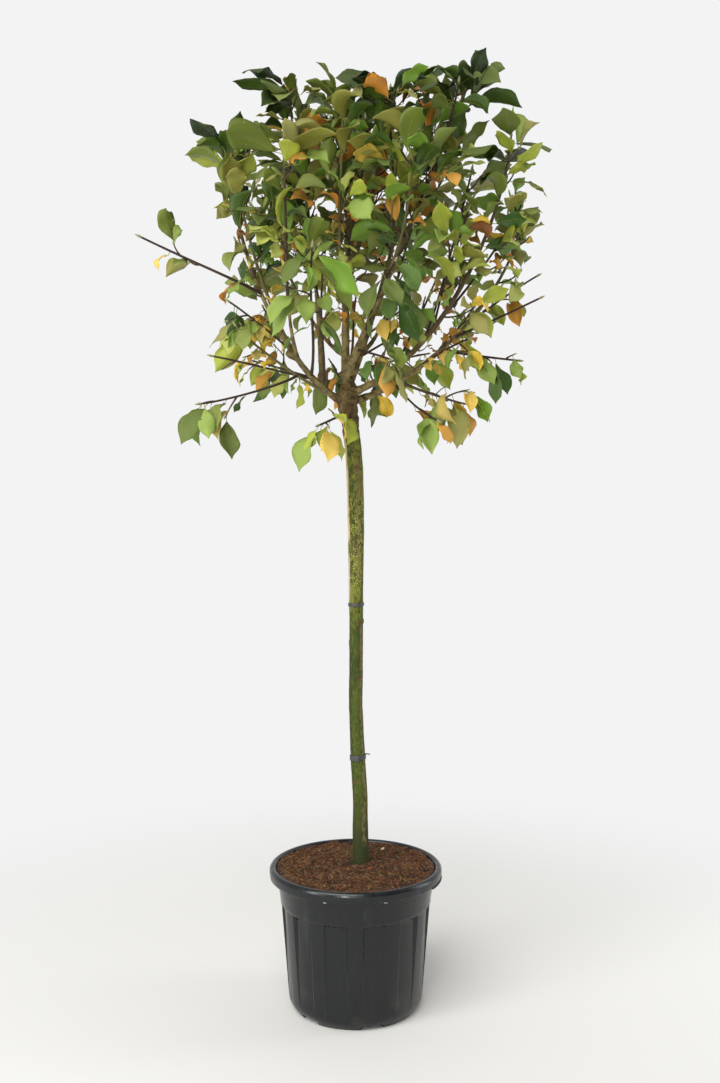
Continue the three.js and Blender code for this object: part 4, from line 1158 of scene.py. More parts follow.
# Bands of the stem's bark: the middle and half width of each in degrees round the stem, and
# its lowest and highest place. The camera looks from -90.
BARK_BANDS = {
    "stripe": ((-40, 12, 560, 1062), (-66, 12, 1180, 1510), (-60, 14, 450, 560)),
    # scraped: a pale band down the stem's left side, partly scraped bark and partly painted
    # highlight
    "scraped_and_highlight": ((-162, 17, 1290, 1580), (-156, 8, 1130, 1250)),
    "shade": ((-116, 14, 1340, 1600), (-128, 12, 1170, 1300), (-30, 16, 1130, 1330),
              (-160, 34, 420, 1000)),
}
BAND_FADE = 9                          # degrees
BAND_END = 15                          # millimetres
BAND_WANDER = (((60, 60, 55), 9, 23),)

# A low ring at each year's growth and bud: spacing, place of the first, width and swelling.
LIMB_NODES = (61, 30, 4.0, 0.07)
TWIG_NODES = (23, 11, 2.5, 0.12)


def skin_over(pile, name, voxel, rounds):
    """One even skin over the joined bars of a pile, smoothed where they meet."""
    rough = pile.mesh(name + "_rough", [])
    remesh = rough.modifiers.new("skin", "REMESH")
    remesh.mode = "VOXEL"
    remesh.voxel_size = voxel * MM
    smooth = rough.modifiers.new("smooth", "SMOOTH")
    smooth.factor = SKIN_SMOOTHING
    smooth.iterations = rounds
    graph = bpy.context.evaluated_depsgraph_get()
    mesh = bpy.data.meshes.new_from_object(rough.evaluated_get(graph))
    mesh.name = name
    bpy.data.objects.remove(rough)
    mesh.polygons.foreach_set("use_smooth", [True] * len(mesh.polygons))
    return new_object(name, mesh)


def displace(mesh, height_at):
    """Moves each point along its normal by a height in millimetres, and paints the heights."""
    points = mesh_points(mesh)
    normals = np.empty(points.size)
    mesh.vertices.foreach_get("normal", normals)
    heights = height_at(points)
    points += normals.reshape(-1, 3) * heights[:, None]
    mesh.vertices.foreach_set("co", (points * MM).astype(np.float32).ravel())
    mesh.update()
    paint(mesh, "relief", heights)


def relief(points, layers):
    """The sum of some layers of smooth bumps at each point."""
    total = 0
    for scale, proud, seed in layers:
        places = points / np.asarray(scale, float) + seed
        total = total + np.array([noise.noise(place) for place in places]) * proud
    return total


def trunk_relief(points):
    """The bark's ridges, the graft, the knots and the knobbly head."""
    head = smooth_step(HEAD_FOOT, HEAD_FULL, points[:, 2])
    from_graft = points[:, 2] - GRAFT
    stem = relief(points, STEM_LAYERS) - WAIST_DEPTH * np.exp(-(from_graft / WAIST_LENGTH) ** 2)
    height = mix(stem, relief(points, HEAD_LAYERS), head)
    height -= SEAM_DEPTH * np.exp(-(from_graft / SEAM_WIDTH) ** 2)
    depth, eye = KNOT_EYE
    for level, azimuth, radius, proud in KNOTS:
        offsets = (points - knot_place(level, azimuth)) * KNOT_STRETCH
        away = np.linalg.norm(offsets, axis=1) / radius
        mound = np.exp(-away ** 2 * KNOT_STEEPNESS)
        height += proud * (mound - depth * np.exp(-(away / eye) ** 2))
    return height


def paint_bark(mesh):
    """Paints the bands of the stem's bark and the stains round its knots."""
    points = mesh_points(mesh)
    centres = np.array([trunk_point(height) for height in points[:, 2]])
    around = np.degrees(np.arctan2(points[:, 1] - centres[:, 1], points[:, 0] - centres[:, 0]))
    around += relief(points, BAND_WANDER)
    for name, bands in BARK_BANDS.items():
        values = np.zeros(len(points))
        for middle, half, low, high in bands:
            away = abs((around - middle + 180) % 360 - 180)
            share = smooth_step(half + BAND_FADE, half - BAND_FADE / 2, away)
            share *= smooth_step(low - BAND_END, low + BAND_END, points[:, 2])
            share *= smooth_step(high + BAND_END, high - BAND_END, points[:, 2])
            values = np.maximum(values, share)
        paint(mesh, name, values)
    stains = np.zeros(len(points))
    for level, azimuth, radius, _ in KNOTS:
        away = np.linalg.norm(points - knot_place(level, azimuth), axis=1) / radius
        stains = np.maximum(stains, np.exp(-(away / KNOT_STAIN) ** 2))
    paint(mesh, "knot", stains)


def knot_place(level, azimuth):
    return trunk_point(level) + trunk_radius(level) * spoke(math.radians(azimuth))


def build_trunk(limbs):
    """The stem and the roots of its boughs under one skin of bark."""
    pile = Pile()
    heights = np.append(np.arange(STATIONS[0, 0], TRUNK_TOP, RING_STEP["trunk"]), TRUNK_TOP)
    radii = [trunk_radius(height) for height in heights]
    radii = [min(radius, STEM_LIMIT) if height < HEAD_FOOT else radius
             for height, radius in zip(heights, radii)]
    pile.tube([trunk_point(height) for height in heights], radii, BAR_SIDES["trunk"])
    for limb in limbs.values():
        if limb.parent == "trunk" and limb.foot > THICK_LIMB:
            points, radii = limb.stretch(0, BOUGH_ROOT / limb.length, WOOD_STEP)
            swell = np.linspace(*ROOT_SWELL, len(points))
            pile.tube(points, radii + swell, BAR_SIDES["bough_root"])
    piece = skin_over(pile, "trunk_bark", *TRUNK_SKIN)
    displace(piece.data, trunk_relief)
    paint_bark(piece.data)
    piece.data.materials.append(trunk_material())
    mount(piece, "bark", "trunk")


def node_swell(runs, nodes):
    """How much wider wood is at its nodes, as a share, so many millimetres along it."""
    spacing, first, width, swell = nodes
    return swell * np.exp(-((runs % spacing - first) / width) ** 2)


def limb_rings(limb, low, high, step):
    """A limb's line and radii, with its nodes."""
    points, radii = limb.stretch(low, high, step)
    runs = np.linspace(low, high, len(points)) * limb.length
    return points, radii * (1 + node_swell(runs, LIMB_NODES))


def bark_of(limb):
    """The slot of a limb's tone: thin shoots are dark, stronger ones brown or olive."""
    return DARK_BARK if limb.foot < DARK_LIMB else BROWN_BARK + limb.seed % 2


def old_cut(limbs):
    """The line and radii of the knob where the left bough was once cut back."""
    foot = limbs[OLD_CUT_PARENT].point(OLD_CUT_AT)
    way = unit(np.array(OLD_CUT_WAY))
    bulge = foot + way * OLD_CUT_REACH * OLD_CUT_BULGE
    return [foot, bulge, foot + way * OLD_CUT_REACH], OLD_CUT_RADII


def build_boughs(limbs, barks):
    """The bare parts of the limbs: thick ones under one skin, thin ones as plain bars."""
    thick, thin = Pile(), Pile()
    thick.tube(*old_cut(limbs), BAR_SIDES["old_cut"])
    thick_nodes, thin_nodes = [], []
    for limb in limbs.values():
        if limb.split == 0:
            continue
        if limb.foot >= THICK_LIMB:
            kind, pile, bark, nodes = "bough", thick, 0, thick_nodes
        else:
            kind, pile, bark, nodes = "wand", thin, bark_of(limb), thin_nodes
        high = limb.split + BOUGH_OVERLAP / limb.length
        pile.tube(*limb_rings(limb, 0, high, RING_STEP[kind]), BAR_SIDES[kind], bark)
        if limb.name in LIMBS:
            nodes.append(f"{limb.name}_bough".replace("bough_bough", "bough"))
    boughs = skin_over(thick, "main_boughs", *BOUGH_SKIN)
    displace(boughs.data, lambda points: relief(points, BOUGH_LAYERS))
    boughs.data.materials.append(bough_material())
    mount(boughs, "bough", *thick_nodes)
    wands = thin.mesh("thin_boughs", barks)
    displace(wands.data, lambda points: relief(points, WAND_LAYERS))
    mount(wands, "bough", *thin_nodes)


# ---------------------------------------------------------------- foliage

FOLIAGE_NODES = [name for name in frame["nodes"] if name.endswith("_foliage")]
BUD_LENGTH = 15
BUD_RADIUS = 3.1
# Widths of a bud at shares of its length.
BUD_SHARES = np.array([0, 0.12, 0.3, 0.5, 0.7, 0.87, 1.0])
BUD_WIDTHS = np.array([0.5, 0.86, 1.0, 0.92, 0.66, 0.34, 0.08])
BUD_BEND = 2                           # millimetres that its tip turns aside, this far up
BUD_RISE = 0.15
BUD_CLEAR = 1                          # inside the solids' reach
BUD_TONE = tone(140, 138, 98)
BUD_FINISH = (0.9, 2600, 0.3)          # roughness, grain and depth of its relief
BUD_FUR = {"Sheen Weight": 0.5, "Sheen Roughness": 0.4}
TIP_BUD_SIZE = 1.15
TWIG_BUD_SHARE = 0.55                  # of the twigs that have one
TWIG_BUD_SIZES = (0.6, 0.95)


def build_stems(masses, barks):
    """The leafy parts of the limbs, and all their twigs."""
    stems, twigs = Pile(), Pile()
    for mass in masses:
        limb = mass.limb
        stems.tube(*limb_rings(limb, limb.split, 1, RING_STEP["stem"]), BAR_SIDES["stem"],
                   bark_of(limb))
        for twig in mass.twigs:
            line = curve_through(twig.points, TWIG_RINGS)
            foot, tip = (TWIGLET_FOOT, TWIGLET_TIP) if twig.fine else (TWIG_FOOT, TWIG_TIP)
            shares = np.linspace(0, 1, len(line))
            radii = mix(foot, tip, shares) / 2 * (1 + node_swell(shares * twig.reach, TWIG_NODES))
            bark = OLIVE_BARK if twig.fine else int(twig.reach * 7) % 2
            twigs.tube(line, radii, BAR_SIDES["twig"], bark)
    mount(stems.mesh("stems", barks), "bough", *FOLIAGE_NODES)
    mount(twigs.mesh("twigs", barks), "bough", *FOLIAGE_NODES)


def curve_through(points, count):
    """A smooth line from the first point to the last, bent by the middle one."""
    first, middle, last = points
    pull = 2 * middle - (first + last) / 2
    shares = np.linspace(0, 1, count)[:, None]
    return (1 - shares) ** 2 * first + 2 * shares * (1 - shares) * pull + shares ** 2 * last


def tint_of(leaf, spray_draw, draw):
    """The tint a leaf is dealt: its spray's green, or an autumn tint where it is old."""
    own_tints = LIMB_TINTS.get(leaf.limb.name)
    if own_tints:
        return own_tints[int(draw * len(own_tints))]
    height = leaf.middle[2]
    low = smooth_step(*LOW_CROWN, height)
    least, more = AUTUMN_BY_AGE
    autumn = np.interp(height, *AUTUMN_SHARE)
    by_age = least + more * leaf.age
    least, more = AUTUMN_BY_SPRAY
    autumn *= by_age * (least + more * spray_draw[1] ** AUTUMN_POWER)
    if draw < autumn:
        shade = draw / autumn
        if shade < GOLD_SHARE:
            return "gold"
        if shade < GOLD_SHARE + YELLOW_SHARE * low:
            return "yellow"
        return "orange" if shade < RUST_FROM else "rust"
    if low > 0.5 and spray_draw[0] < FOREST_SHARE:
        return "forest"
    shade = spray_draw[0] * SPRAY_WEIGHT + LEAF_WEIGHT * (draw - autumn) / (1 - autumn)
    # darker near the crown's top and paler lower down: partly the leaves' own colour, partly
    # painted shade and painted light
    shade = (0.5 + SHADE_CONTRAST * (shade - 0.5)) * np.interp(height, *SHADE_RANGE)
    shade += np.interp(height, *SHADE_LIFT)
    for tint, limit in GREENS:
        if shade < limit:
            return tint
    return "lime"


def blade_template():
    """Row and side shares of a blade's grid, and its faces with their material slots."""
    rows = np.linspace(0, 1, BLADE_ROWS + 1)
    sides = np.linspace(-1, 1, 2 * BLADE_SIDES + 1)
    columns = len(sides)
    top = grid_faces(len(rows), columns, closed=False)
    size = len(rows) * columns
    under = top[:, ::-1] + size
    left = [row * columns for row in range(len(rows))]
    right = [foot + columns - 1 for foot in left]
    end = [size - 2 - i for i in range(columns - 1)]
    loop = list(range(columns)) + right[1:] + end + left[-2:0:-1]
    rim = []
    for i, here in enumerate(loop):
        after = loop[(i + 1) % len(loop)]
        rim.append([after, here, here + size, after + size])
    faces = np.concatenate([top, under, np.array(rim)])
    slots = np.concatenate([np.zeros(len(top)), np.ones(len(under)), np.full(len(rim), 2)])
    return rows, sides, faces, slots.astype(int)


ROWS, SIDES, BLADE_FACES, BLADE_SLOTS = blade_template()
RIM_SLOT = 2


def blade_shape(leaf, size, draws):
    """A leaf's blade: arched along its chord, folded, twisted and wavy at the rim."""
    petiole = leaf.length * PETIOLE
    blade = (leaf.length - petiole) * size
    half = leaf.width * BLADE_FULLNESS * size
    row, side = np.meshgrid(ROWS, SIDES, indexing="ij")
    out = abs(side)
    reach = np.clip(row + VEIN_SLANT * (half / blade) * out * 2 * row * (1 - row), 0, 1)
    outline = np.interp(reach, np.linspace(0, 1, len(BLADE_OUTLINE)), BLADE_OUTLINE)
    arch, fold, wave, turns, phase, twist, sway = draws
    x = side * half * outline + sway * blade * reach ** 2
    lift = -fold * half * outline * out ** 1.5
    lag = (side > 0) * RIM_LAG
    lift += wave * out ** 2 * np.sin(turns * reach + phase + lag) * outline ** 0.5
    bulges = (np.arange(len(ROWS)) % 2)[:, None] * VEIN_RELIEF
    lift += bulges * np.minimum(out * 3, 1) * outline
    angle = twist * reach
    x, lift = x * np.cos(angle) - lift * np.sin(angle), lift * np.cos(angle) + x * np.sin(angle)
    pitch = arch * (0.5 - reach)
    y = blade / arch * (math.sin(arch / 2) - np.sin(pitch))
    z = blade / arch * (np.cos(pitch) - math.cos(arch / 2))
    y, z = y - lift * np.sin(pitch), z + lift * np.cos(pitch)
    base = leaf.base + leaf.along * petiole
    return (base + x[..., None] * leaf.across + y[..., None] * leaf.along
            + z[..., None] * leaf.normal)


def build_leaves(masses):
    """Each leaf's blade in the pile of its tint, and its petiole and midrib in one for all."""
    draw = np.random.default_rng(SEEDS["leaves"])
    piles = {tint: Pile() for tint in LEAF_TINTS}
    ribs = Pile()
    for mass in masses:
        spray_draws = draw.random((mass.sprays + 1, 2))
        for leaf in mass.leaves:
            tint = tint_of(leaf, spray_draws[leaf.spray], draw.random())
            shrunk = tint in AUTUMN and leaf.limb.name not in LIMB_TINTS
            size = draw.uniform(*AUTUMN_SIZE) if shrunk else 1.0
            arch, fold, *others = [draw.uniform(*span) for span in BLADE_DRAWS]
            if shrunk:
                arch, fold = arch * SHRUNK_CURL, fold * SHRUNK_CURL
            lay_leaf(piles[tint], ribs, leaf, blade_shape(leaf, size, (arch, fold, *others)))
    for tint, pile in piles.items():
        if pile.points:
            upper, under = LEAF_TINTS[tint]
            materials = [leaf_material(f"leaf_{tint}", upper, LEAF_GLOSS),
                         leaf_material(f"leaf_{tint}_under", under, UNDERSIDE_GLOSS)]
            piece = pile.mesh(f"leaves_{tint}", materials, flat_slots=(RIM_SLOT,))
            mount(piece, "foliage", *FOLIAGE_NODES)
    rib_material = leaf_material("petiole", tone(138, 140, 66), 0.6)
    mount(ribs.mesh("petioles_and_midribs", [rib_material]), "foliage", *FOLIAGE_NODES)


def lay_leaf(pile, ribs, leaf, grid):
    """A blade of even thickness over a grid, and the line of its petiole and midrib."""
    normals = grid_normals(grid)
    under = grid - normals * BLADE_THICKNESS
    pile.add(np.concatenate([grid, under]), BLADE_FACES, quad_slots=BLADE_SLOTS)
    centre = len(SIDES) // 2
    midrib = grid[:, centre] - normals[:, centre] * (BLADE_THICKNESS / 2)
    sag = leaf.base * 0.5 + midrib[0] * 0.5 + leaf.normal * leaf.length * PETIOLE_SAG
    line = np.concatenate([[leaf.base, sag], midrib[:-1:2], midrib[-2:-1]])
    radii = np.concatenate([PETIOLE_RADII, np.linspace(*MIDRIB_RADII, len(line) - 2)])
    ribs.tube(line, radii, BAR_SIDES["rib"])


def grid_normals(grid):
    """Unit normals of a grid of points, from its rows and columns."""
    along = np.gradient(grid, axis=0)
    across = np.gradient(grid, axis=1)
    normal = np.cross(across, along)
    length = np.linalg.norm(normal, axis=2, keepdims=True)
    return normal / np.maximum(length, 1e-9)


def build_buds(masses):
    """Fuzzy silver-green buds at the tips of shoots and twigs."""
    pile = Pile()
    draw = np.random.default_rng(SEEDS["buds"])
    for mass in masses:
        tips = [(mass.limb.point(1), mass.limb.tip_way(), TIP_BUD_SIZE)]
        for twig in mass.twigs:
            if draw.random() < TWIG_BUD_SHARE:
                tips.append((twig.points[2], twig.rising, draw.uniform(*TWIG_BUD_SIZES)))
        for tip, way, size in tips:
            line = tip + np.outer(BUD_SHARES * BUD_LENGTH * size, way)
            line += np.outer(BUD_SHARES ** 2 * BUD_BEND, unit(way + BUD_RISE * UP))
            line = np.minimum(line, REACH_HIGH - BUD_CLEAR)
            pile.tube(line, BUD_WIDTHS * BUD_RADIUS * size, BAR_SIDES["bud"])
    fur = small_material("bud_fur", BUD_TONE, *BUD_FINISH, **BUD_FUR)
    mount(pile.mesh("buds", [fur]), "foliage")


# ---------------------------------------------------------------- pot and soil

pot_low, pot_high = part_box("pot")
POT_HEIGHT = pot_high.z / MM
RIM_RADIUS = (pot_high.x - pot_low.x) / 2 / MM
RIM_WIDTH = 19
RIM_ROUNDING = (12, 7)                 # height of its curve outside and inside
INNER_RADIUS = RIM_RADIUS - RIM_WIDTH
SKIRT_FOOT = POT_HEIGHT - 30           # the rim's skirt hangs down to here
COLLAR_RADIUS = 217
SHOULDER_RADIUS, SHOULDER_HEIGHT = 206, 291
LIP = 1.6                              # how far the shoulder's lip stands out
HEEL_RADIUS, HEEL_HEIGHT = 186, 34
HEEL_ROWS = (0, 1.5, 4, 8, 12.5, 18, 26, HEEL_HEIGHT)
BASE_RADIUS = 169
WALL = 3.2
FLOOR_FACES = (4.0, 8.2)               # heights of the floor's under and upper face
PANELS = 12
PANEL_STEP = 360 / PANELS
PANEL_HALF = 8                         # degrees, with a sloping side up to PANEL_EDGE
PANEL_EDGE = 9.5
PANEL_DEPTH = 6.5
PANEL_FOOT, PANEL_HEAD = 46, 285
PANEL_START = (36, 56)                 # heights over which a panel sinks in
PANEL_SHALLOW = 0.3                    # its depth at the foot, of the depth at the head
PANEL_ROWS = (40, PANEL_HEAD - 2, 22)  # lowest and highest row of the mesh, and their number
# How a panel ends: millimetres above its head, and its depth there.
PANEL_END = ((0, 0.92), (1.5, 0.6), (3, 0.25), (4.5, 0.04))
# Degrees from a panel's middle where the mesh has a column, close together at the slope.
COLUMN_TURNS = (0, 2, 4, 5.2, 5.8, 6.4, 7.3, 7.8, 8.1, 8.4, 8.7, 9.0, 9.3, 9.6, 10.0, 11, 13)
NOTCHES = 6
NOTCH_HALF = 9.5                       # degrees, with a sloping side as wide as twice the next
NOTCH_SLOPE = 0.7
NOTCH_HEIGHT = 14
NOTCH_SQUEEZE = 0.15                   # what the rows below it are squeezed to, as a share
NOTCH_INSET = 0.6
# The collar behind the skirt, as millimetres out from its radius and above the skirt's foot;
# the rim outside, as millimetres in from its radius and above the same; the curve over its
# top, in degrees.
COLLAR = ((1, 0), (1, 14), (7, 19))
SKIRT = ((6, 16), (4.6, 3), (4, 0.4), (2.6, 0), (1.6, 1.2), (0.9, 6))
RIM_CURVE = (0, 15, 30, 45, 60, 75, 90, 108, 126, 145, 165, 180)
MARK_INSET, MARK_HEIGHT = 1.2, 1.5     # of the marks on the rim's skirt
TAB_TURN = 19.4                        # degrees from the front
TAB_HALF = (1.4, 4.5, 1.3)             # half depth, width and height
# painted glint: the tabs' pale grey stands in for the light they catch
TAB_GLINT_TONE = tone(126, 128, 128)
TAB_FINISH = (0.5, 900, 0.1)           # roughness, grain and depth of its relief
GRIP_TURNS = (-29, -4, 2.1)            # azimuths of the first and last tooth, and the step
TOOTH_HALF = (1.6, 1.5, 3.6)
SOIL_EDGE = 386
SOIL_CROWN = 394
SOIL_SLOPE = (110, 215)                # radii between which it falls
SOIL_CLEAR = 1.2                       # of the pot's wall
SOIL_GRID = (64, 200)                  # rings and spokes of its mesh
SOIL_INNERMOST = 0.02                  # the smallest ring, as a share
SOIL_FOOT = 330                        # the mesh goes down to here
SOIL_TUCK = 0.93                       # drawn in by this
# Bumps of the soil: how many millimetres across, how high, and where their noise is taken.
SOIL_LAYERS = ((42, 7.0, (0, 0, 0)), (18, 6.0, (3, 1, 5)), (7, 2.0, (9, 4, 2)))


def pot_radius(height):
    if height < HEEL_HEIGHT:
        return mix(BASE_RADIUS, HEEL_RADIUS, math.sin(height / HEEL_HEIGHT * math.pi / 2))
    return float(np.interp(height, (HEEL_HEIGHT, SHOULDER_HEIGHT, SKIRT_FOOT),
                           (HEEL_RADIUS, SHOULDER_RADIUS, COLLAR_RADIUS)))


def pot_columns():
    """Angles round the pot, in degrees."""
    left = [-PANEL_STEP / 2, *(-turn for turn in COLUMN_TURNS[:0:-1])]
    return np.array([PANEL_STEP * (panel + 0.5) + turn for panel in range(PANELS)
                     for turn in (*left, *COLUMN_TURNS)])


def pot_profile():
    """Rows of (radius, height, share of the panels' recess), outside up and inside down."""
    rows = [(pot_radius(height), height, 0) for height in HEEL_ROWS]
    for height in np.linspace(*PANEL_ROWS):
        share = mix(PANEL_SHALLOW, 1, smooth_step(PANEL_FOOT, PANEL_HEAD, height))
        rows.append((pot_radius(height), height, share * smooth_step(*PANEL_START, height)))
    rows += [(pot_radius(PANEL_HEAD + above), PANEL_HEAD + above, share)
             for above, share in PANEL_END]
    rows += [(pot_radius(SHOULDER_HEIGHT) + LIP * 0.4, SHOULDER_HEIGHT, 0),
             (pot_radius(SHOULDER_HEIGHT + 4) + LIP, SHOULDER_HEIGHT + 3, 0)]
    rows += [(pot_radius(height) + LIP * 0.5, height, 0)
             for height in np.linspace(SHOULDER_HEIGHT + 12, SKIRT_FOOT - 6, 5)]
    rows += [(COLLAR_RADIUS + out, SKIRT_FOOT + up, 0) for out, up in COLLAR]
    rows += [(RIM_RADIUS - inward, SKIRT_FOOT + up, 0) for inward, up in SKIRT]
    for degrees in RIM_CURVE:
        angle = math.radians(degrees)
        drop = RIM_ROUNDING[degrees > 90]
        rows.append((RIM_RADIUS - RIM_WIDTH / 2 + RIM_WIDTH / 2 * math.cos(angle),
                     POT_HEIGHT - drop + drop * math.sin(angle), 0))
    rows += [(INNER_RADIUS, POT_HEIGHT - 12, 0), (INNER_RADIUS - 5, POT_HEIGHT - 30, 0),
             (pot_radius(SHOULDER_HEIGHT) - 3 * WALL, SHOULDER_HEIGHT, 0),
             (pot_radius(HEEL_HEIGHT) - 3 * WALL, HEEL_HEIGHT, 0),
             (BASE_RADIUS - 4 * WALL, WALL, 0)]
    return rows


def build_pot():
    """The pot's shell, with its panels and drainage notches, and the marks on its rim."""
    angles = pot_columns()
    from_panel = abs((angles + 360) % PANEL_STEP - PANEL_STEP / 2)
    recess = PANEL_DEPTH * (1 - smooth_step(PANEL_HALF, PANEL_EDGE, from_panel))
    from_notch = abs((angles - PANEL_STEP * 1.5 + 720) % (360 / NOTCHES))
    from_notch = np.minimum(from_notch, 360 / NOTCHES - from_notch)
    notch = 1 - smooth_step(NOTCH_HALF - NOTCH_SLOPE, NOTCH_HALF + NOTCH_SLOPE, from_notch)
    directions = np.stack([np.cos(np.radians(angles)), np.sin(np.radians(angles))], axis=1)
    rows = []
    for radius, height, share in pot_profile():
        reach = radius - recess * share
        lifted = height + np.zeros(len(angles))
        if height < NOTCH_HEIGHT + 1 and radius > BASE_RADIUS - 2 * WALL:
            squeezed = NOTCH_HEIGHT + height * NOTCH_SQUEEZE
            lifted = mix(lifted, squeezed, notch)
            reach = mix(reach, pot_radius(squeezed) - NOTCH_INSET, notch)
        rows.append(np.column_stack([directions * np.reshape(reach, (-1, 1)), lifted]))
    pile = Pile()
    pile.add(np.concatenate([*rows, [(0, 0, height) for height in FLOOR_FACES]]),
             grid_faces(len(rows), len(angles)), fans(len(rows), len(angles)))
    add_rim_marks(pile)
    tabs = small_material("rim_tabs_glint", TAB_GLINT_TONE, *TAB_FINISH)
    mount(pile.mesh("nursery_pot", [pot_material(), tabs]), "pot", "pot")


def add_rim_marks(pile):
    """Two tabs under the rim's front, pale with a painted glint, and a toothed grip under its right
    side.
    """
    marks = [(-90 + side * TAB_TURN, TAB_HALF, 1) for side in (-1, 1)]
    marks += [(azimuth, TOOTH_HALF, 0) for azimuth in np.arange(*GRIP_TURNS)]
    for azimuth, half, slot in marks:
        outward = spoke(math.radians(azimuth))
        place = outward * (RIM_RADIUS - MARK_INSET) + UP * (SKIRT_FOOT + MARK_HEIGHT)
        add_rounded_block(pile, place, outward, np.cross(UP, outward), half, slot)


def soil_level(x, y):
    """Height of the soil's surface, sunk a little at the wall and round the stem."""
    level = mix(SOIL_CROWN, SOIL_EDGE, smooth_step(*SOIL_SLOPE, math.hypot(x, y)))
    return level + soil_relief(x, y)


def soil_relief(x, y):
    return sum(proud * noise.noise(Vector((x, y, 0)) / scale + Vector(seed))
               for scale, proud, seed in SOIL_LAYERS)


def build_soil():
    """The soil's surface, with a skirt down its side and a flat underside."""
    rings, spokes = SOIL_GRID
    outer = INNER_RADIUS - SOIL_CLEAR
    foot = SOIL_TUCK * outer
    angles = 2 * math.pi * np.arange(spokes) / spokes
    points = [(foot * math.cos(angle), foot * math.sin(angle), SOIL_FOOT) for angle in angles]
    for radius in np.linspace(SOIL_INNERMOST, 1, rings)[::-1] * outer:
        for angle in angles:
            x, y = radius * math.cos(angle), radius * math.sin(angle)
            points.append((x, y, soil_level(x, y)))
    points += [(0, 0, SOIL_FOOT), (0, 0, soil_level(0, 0))]
    pile = Pile()
    pile.add(points, grid_faces(rings + 1, spokes), fans(rings + 1, spokes))
    piece = pile.mesh("soil_surface", [soil_material()])
    paint(piece.data, "relief", [soil_relief(x, y) for x, y, _ in points])
    mount(piece, "soil", "root_ball")


# A pale chip and a reddish one: place and half size; the ways both lie.
CHIPS = ((75, 100, (7, 3.5, 1.6)), (39, -60, (5, 3, 1.6)))
CHIP_WAYS = ((1, 0.4, 0.5), (-0.4, 1, 0))
CHIP_CLEAR = 2
STEM_AREA = 0.012                      # share of the soil round the stem that stays bare
FIBRES = 5200
FIBRE_MARGINS = (12, 2)                # of a fibre's two ends from the pot's wall
FIBRE_BENDS = 3
FIBRE_CLEAR = 0.6
FIBRE_TAPER = (0.6, 1, 0.9, 0.4)
# Least and most curl in radians a millimetre, length, lift off the soil and thickness.
FIBRE_DRAWS = ((-0.06, 0.06), (5, 20), (0.3, 3.5), (0.22, 0.6))
FIBRE_TONES = {"brown": (104, 70, 42), "dark": (46, 29, 18), "red": (128, 72, 42),
               "umber": (78, 52, 31), "straw": (172, 142, 94)}
FIBRE_SHARES = (0.28, 0.16, 0.22, 0.18, 0.16)
CRUMBS = 3000
CRUMB_MARGIN = 6
CRUMB_SIZES = (1.2, 4.2)
CRUMB_CORNERS = (0.6, 1.3)             # least and most reach of a corner, of its size
CRUMB_SQUASH = (1, 1, 0.7)
LUMP_SHARE, LUMP_SIZE = 0.06, 1.5      # of the crumbs that are larger, and how much
CRUMB_KINDS = 3                        # the first tones; the others are the chips'
CRUMB_TONES = {"brown": (82, 52, 30), "dark": (38, 24, 15), "bark": (116, 78, 46),
               "chip": (206, 192, 152), "red": (176, 86, 54)}


def scattered(draw, margin):
    """A random place on the soil, clear of the pot's wall."""
    radius = (INNER_RADIUS - margin) * math.sqrt(draw.uniform(STEM_AREA, 1))
    angle = draw.uniform(0, 2 * math.pi)
    return radius * math.cos(angle), radius * math.sin(angle)


def build_fibres():
    """Fibres of coir and root that lie on the soil."""
    draw = np.random.default_rng(SEEDS["fibres"])
    pile = Pile()
    for _ in range(FIBRES):
        x, y = scattered(draw, FIBRE_MARGINS[0])
        heading = draw.uniform(0, 2 * math.pi)
        curl, length, lift, thick = [draw.uniform(*span) for span in FIBRE_DRAWS]
        line = []
        for share in np.arange(FIBRE_BENDS + 1) / FIBRE_BENDS:
            arch = lift * math.sin(math.pi * share)
            line.append((x, y, soil_level(x, y) + thick + FIBRE_CLEAR + arch))
            x += math.cos(heading) * length / FIBRE_BENDS
            y += math.sin(heading) * length / FIBRE_BENDS
            heading += curl * length / FIBRE_BENDS
        if math.hypot(x, y) <= INNER_RADIUS - FIBRE_MARGINS[1]:
            slot = int(draw.choice(len(FIBRE_SHARES), p=FIBRE_SHARES))
            pile.tube(line, thick * np.array(FIBRE_TAPER), BAR_SIDES["fibre"], slot)
    mount(pile.mesh("soil_fibres", small_materials("fibre", FIBRE_TONES)), "soil")


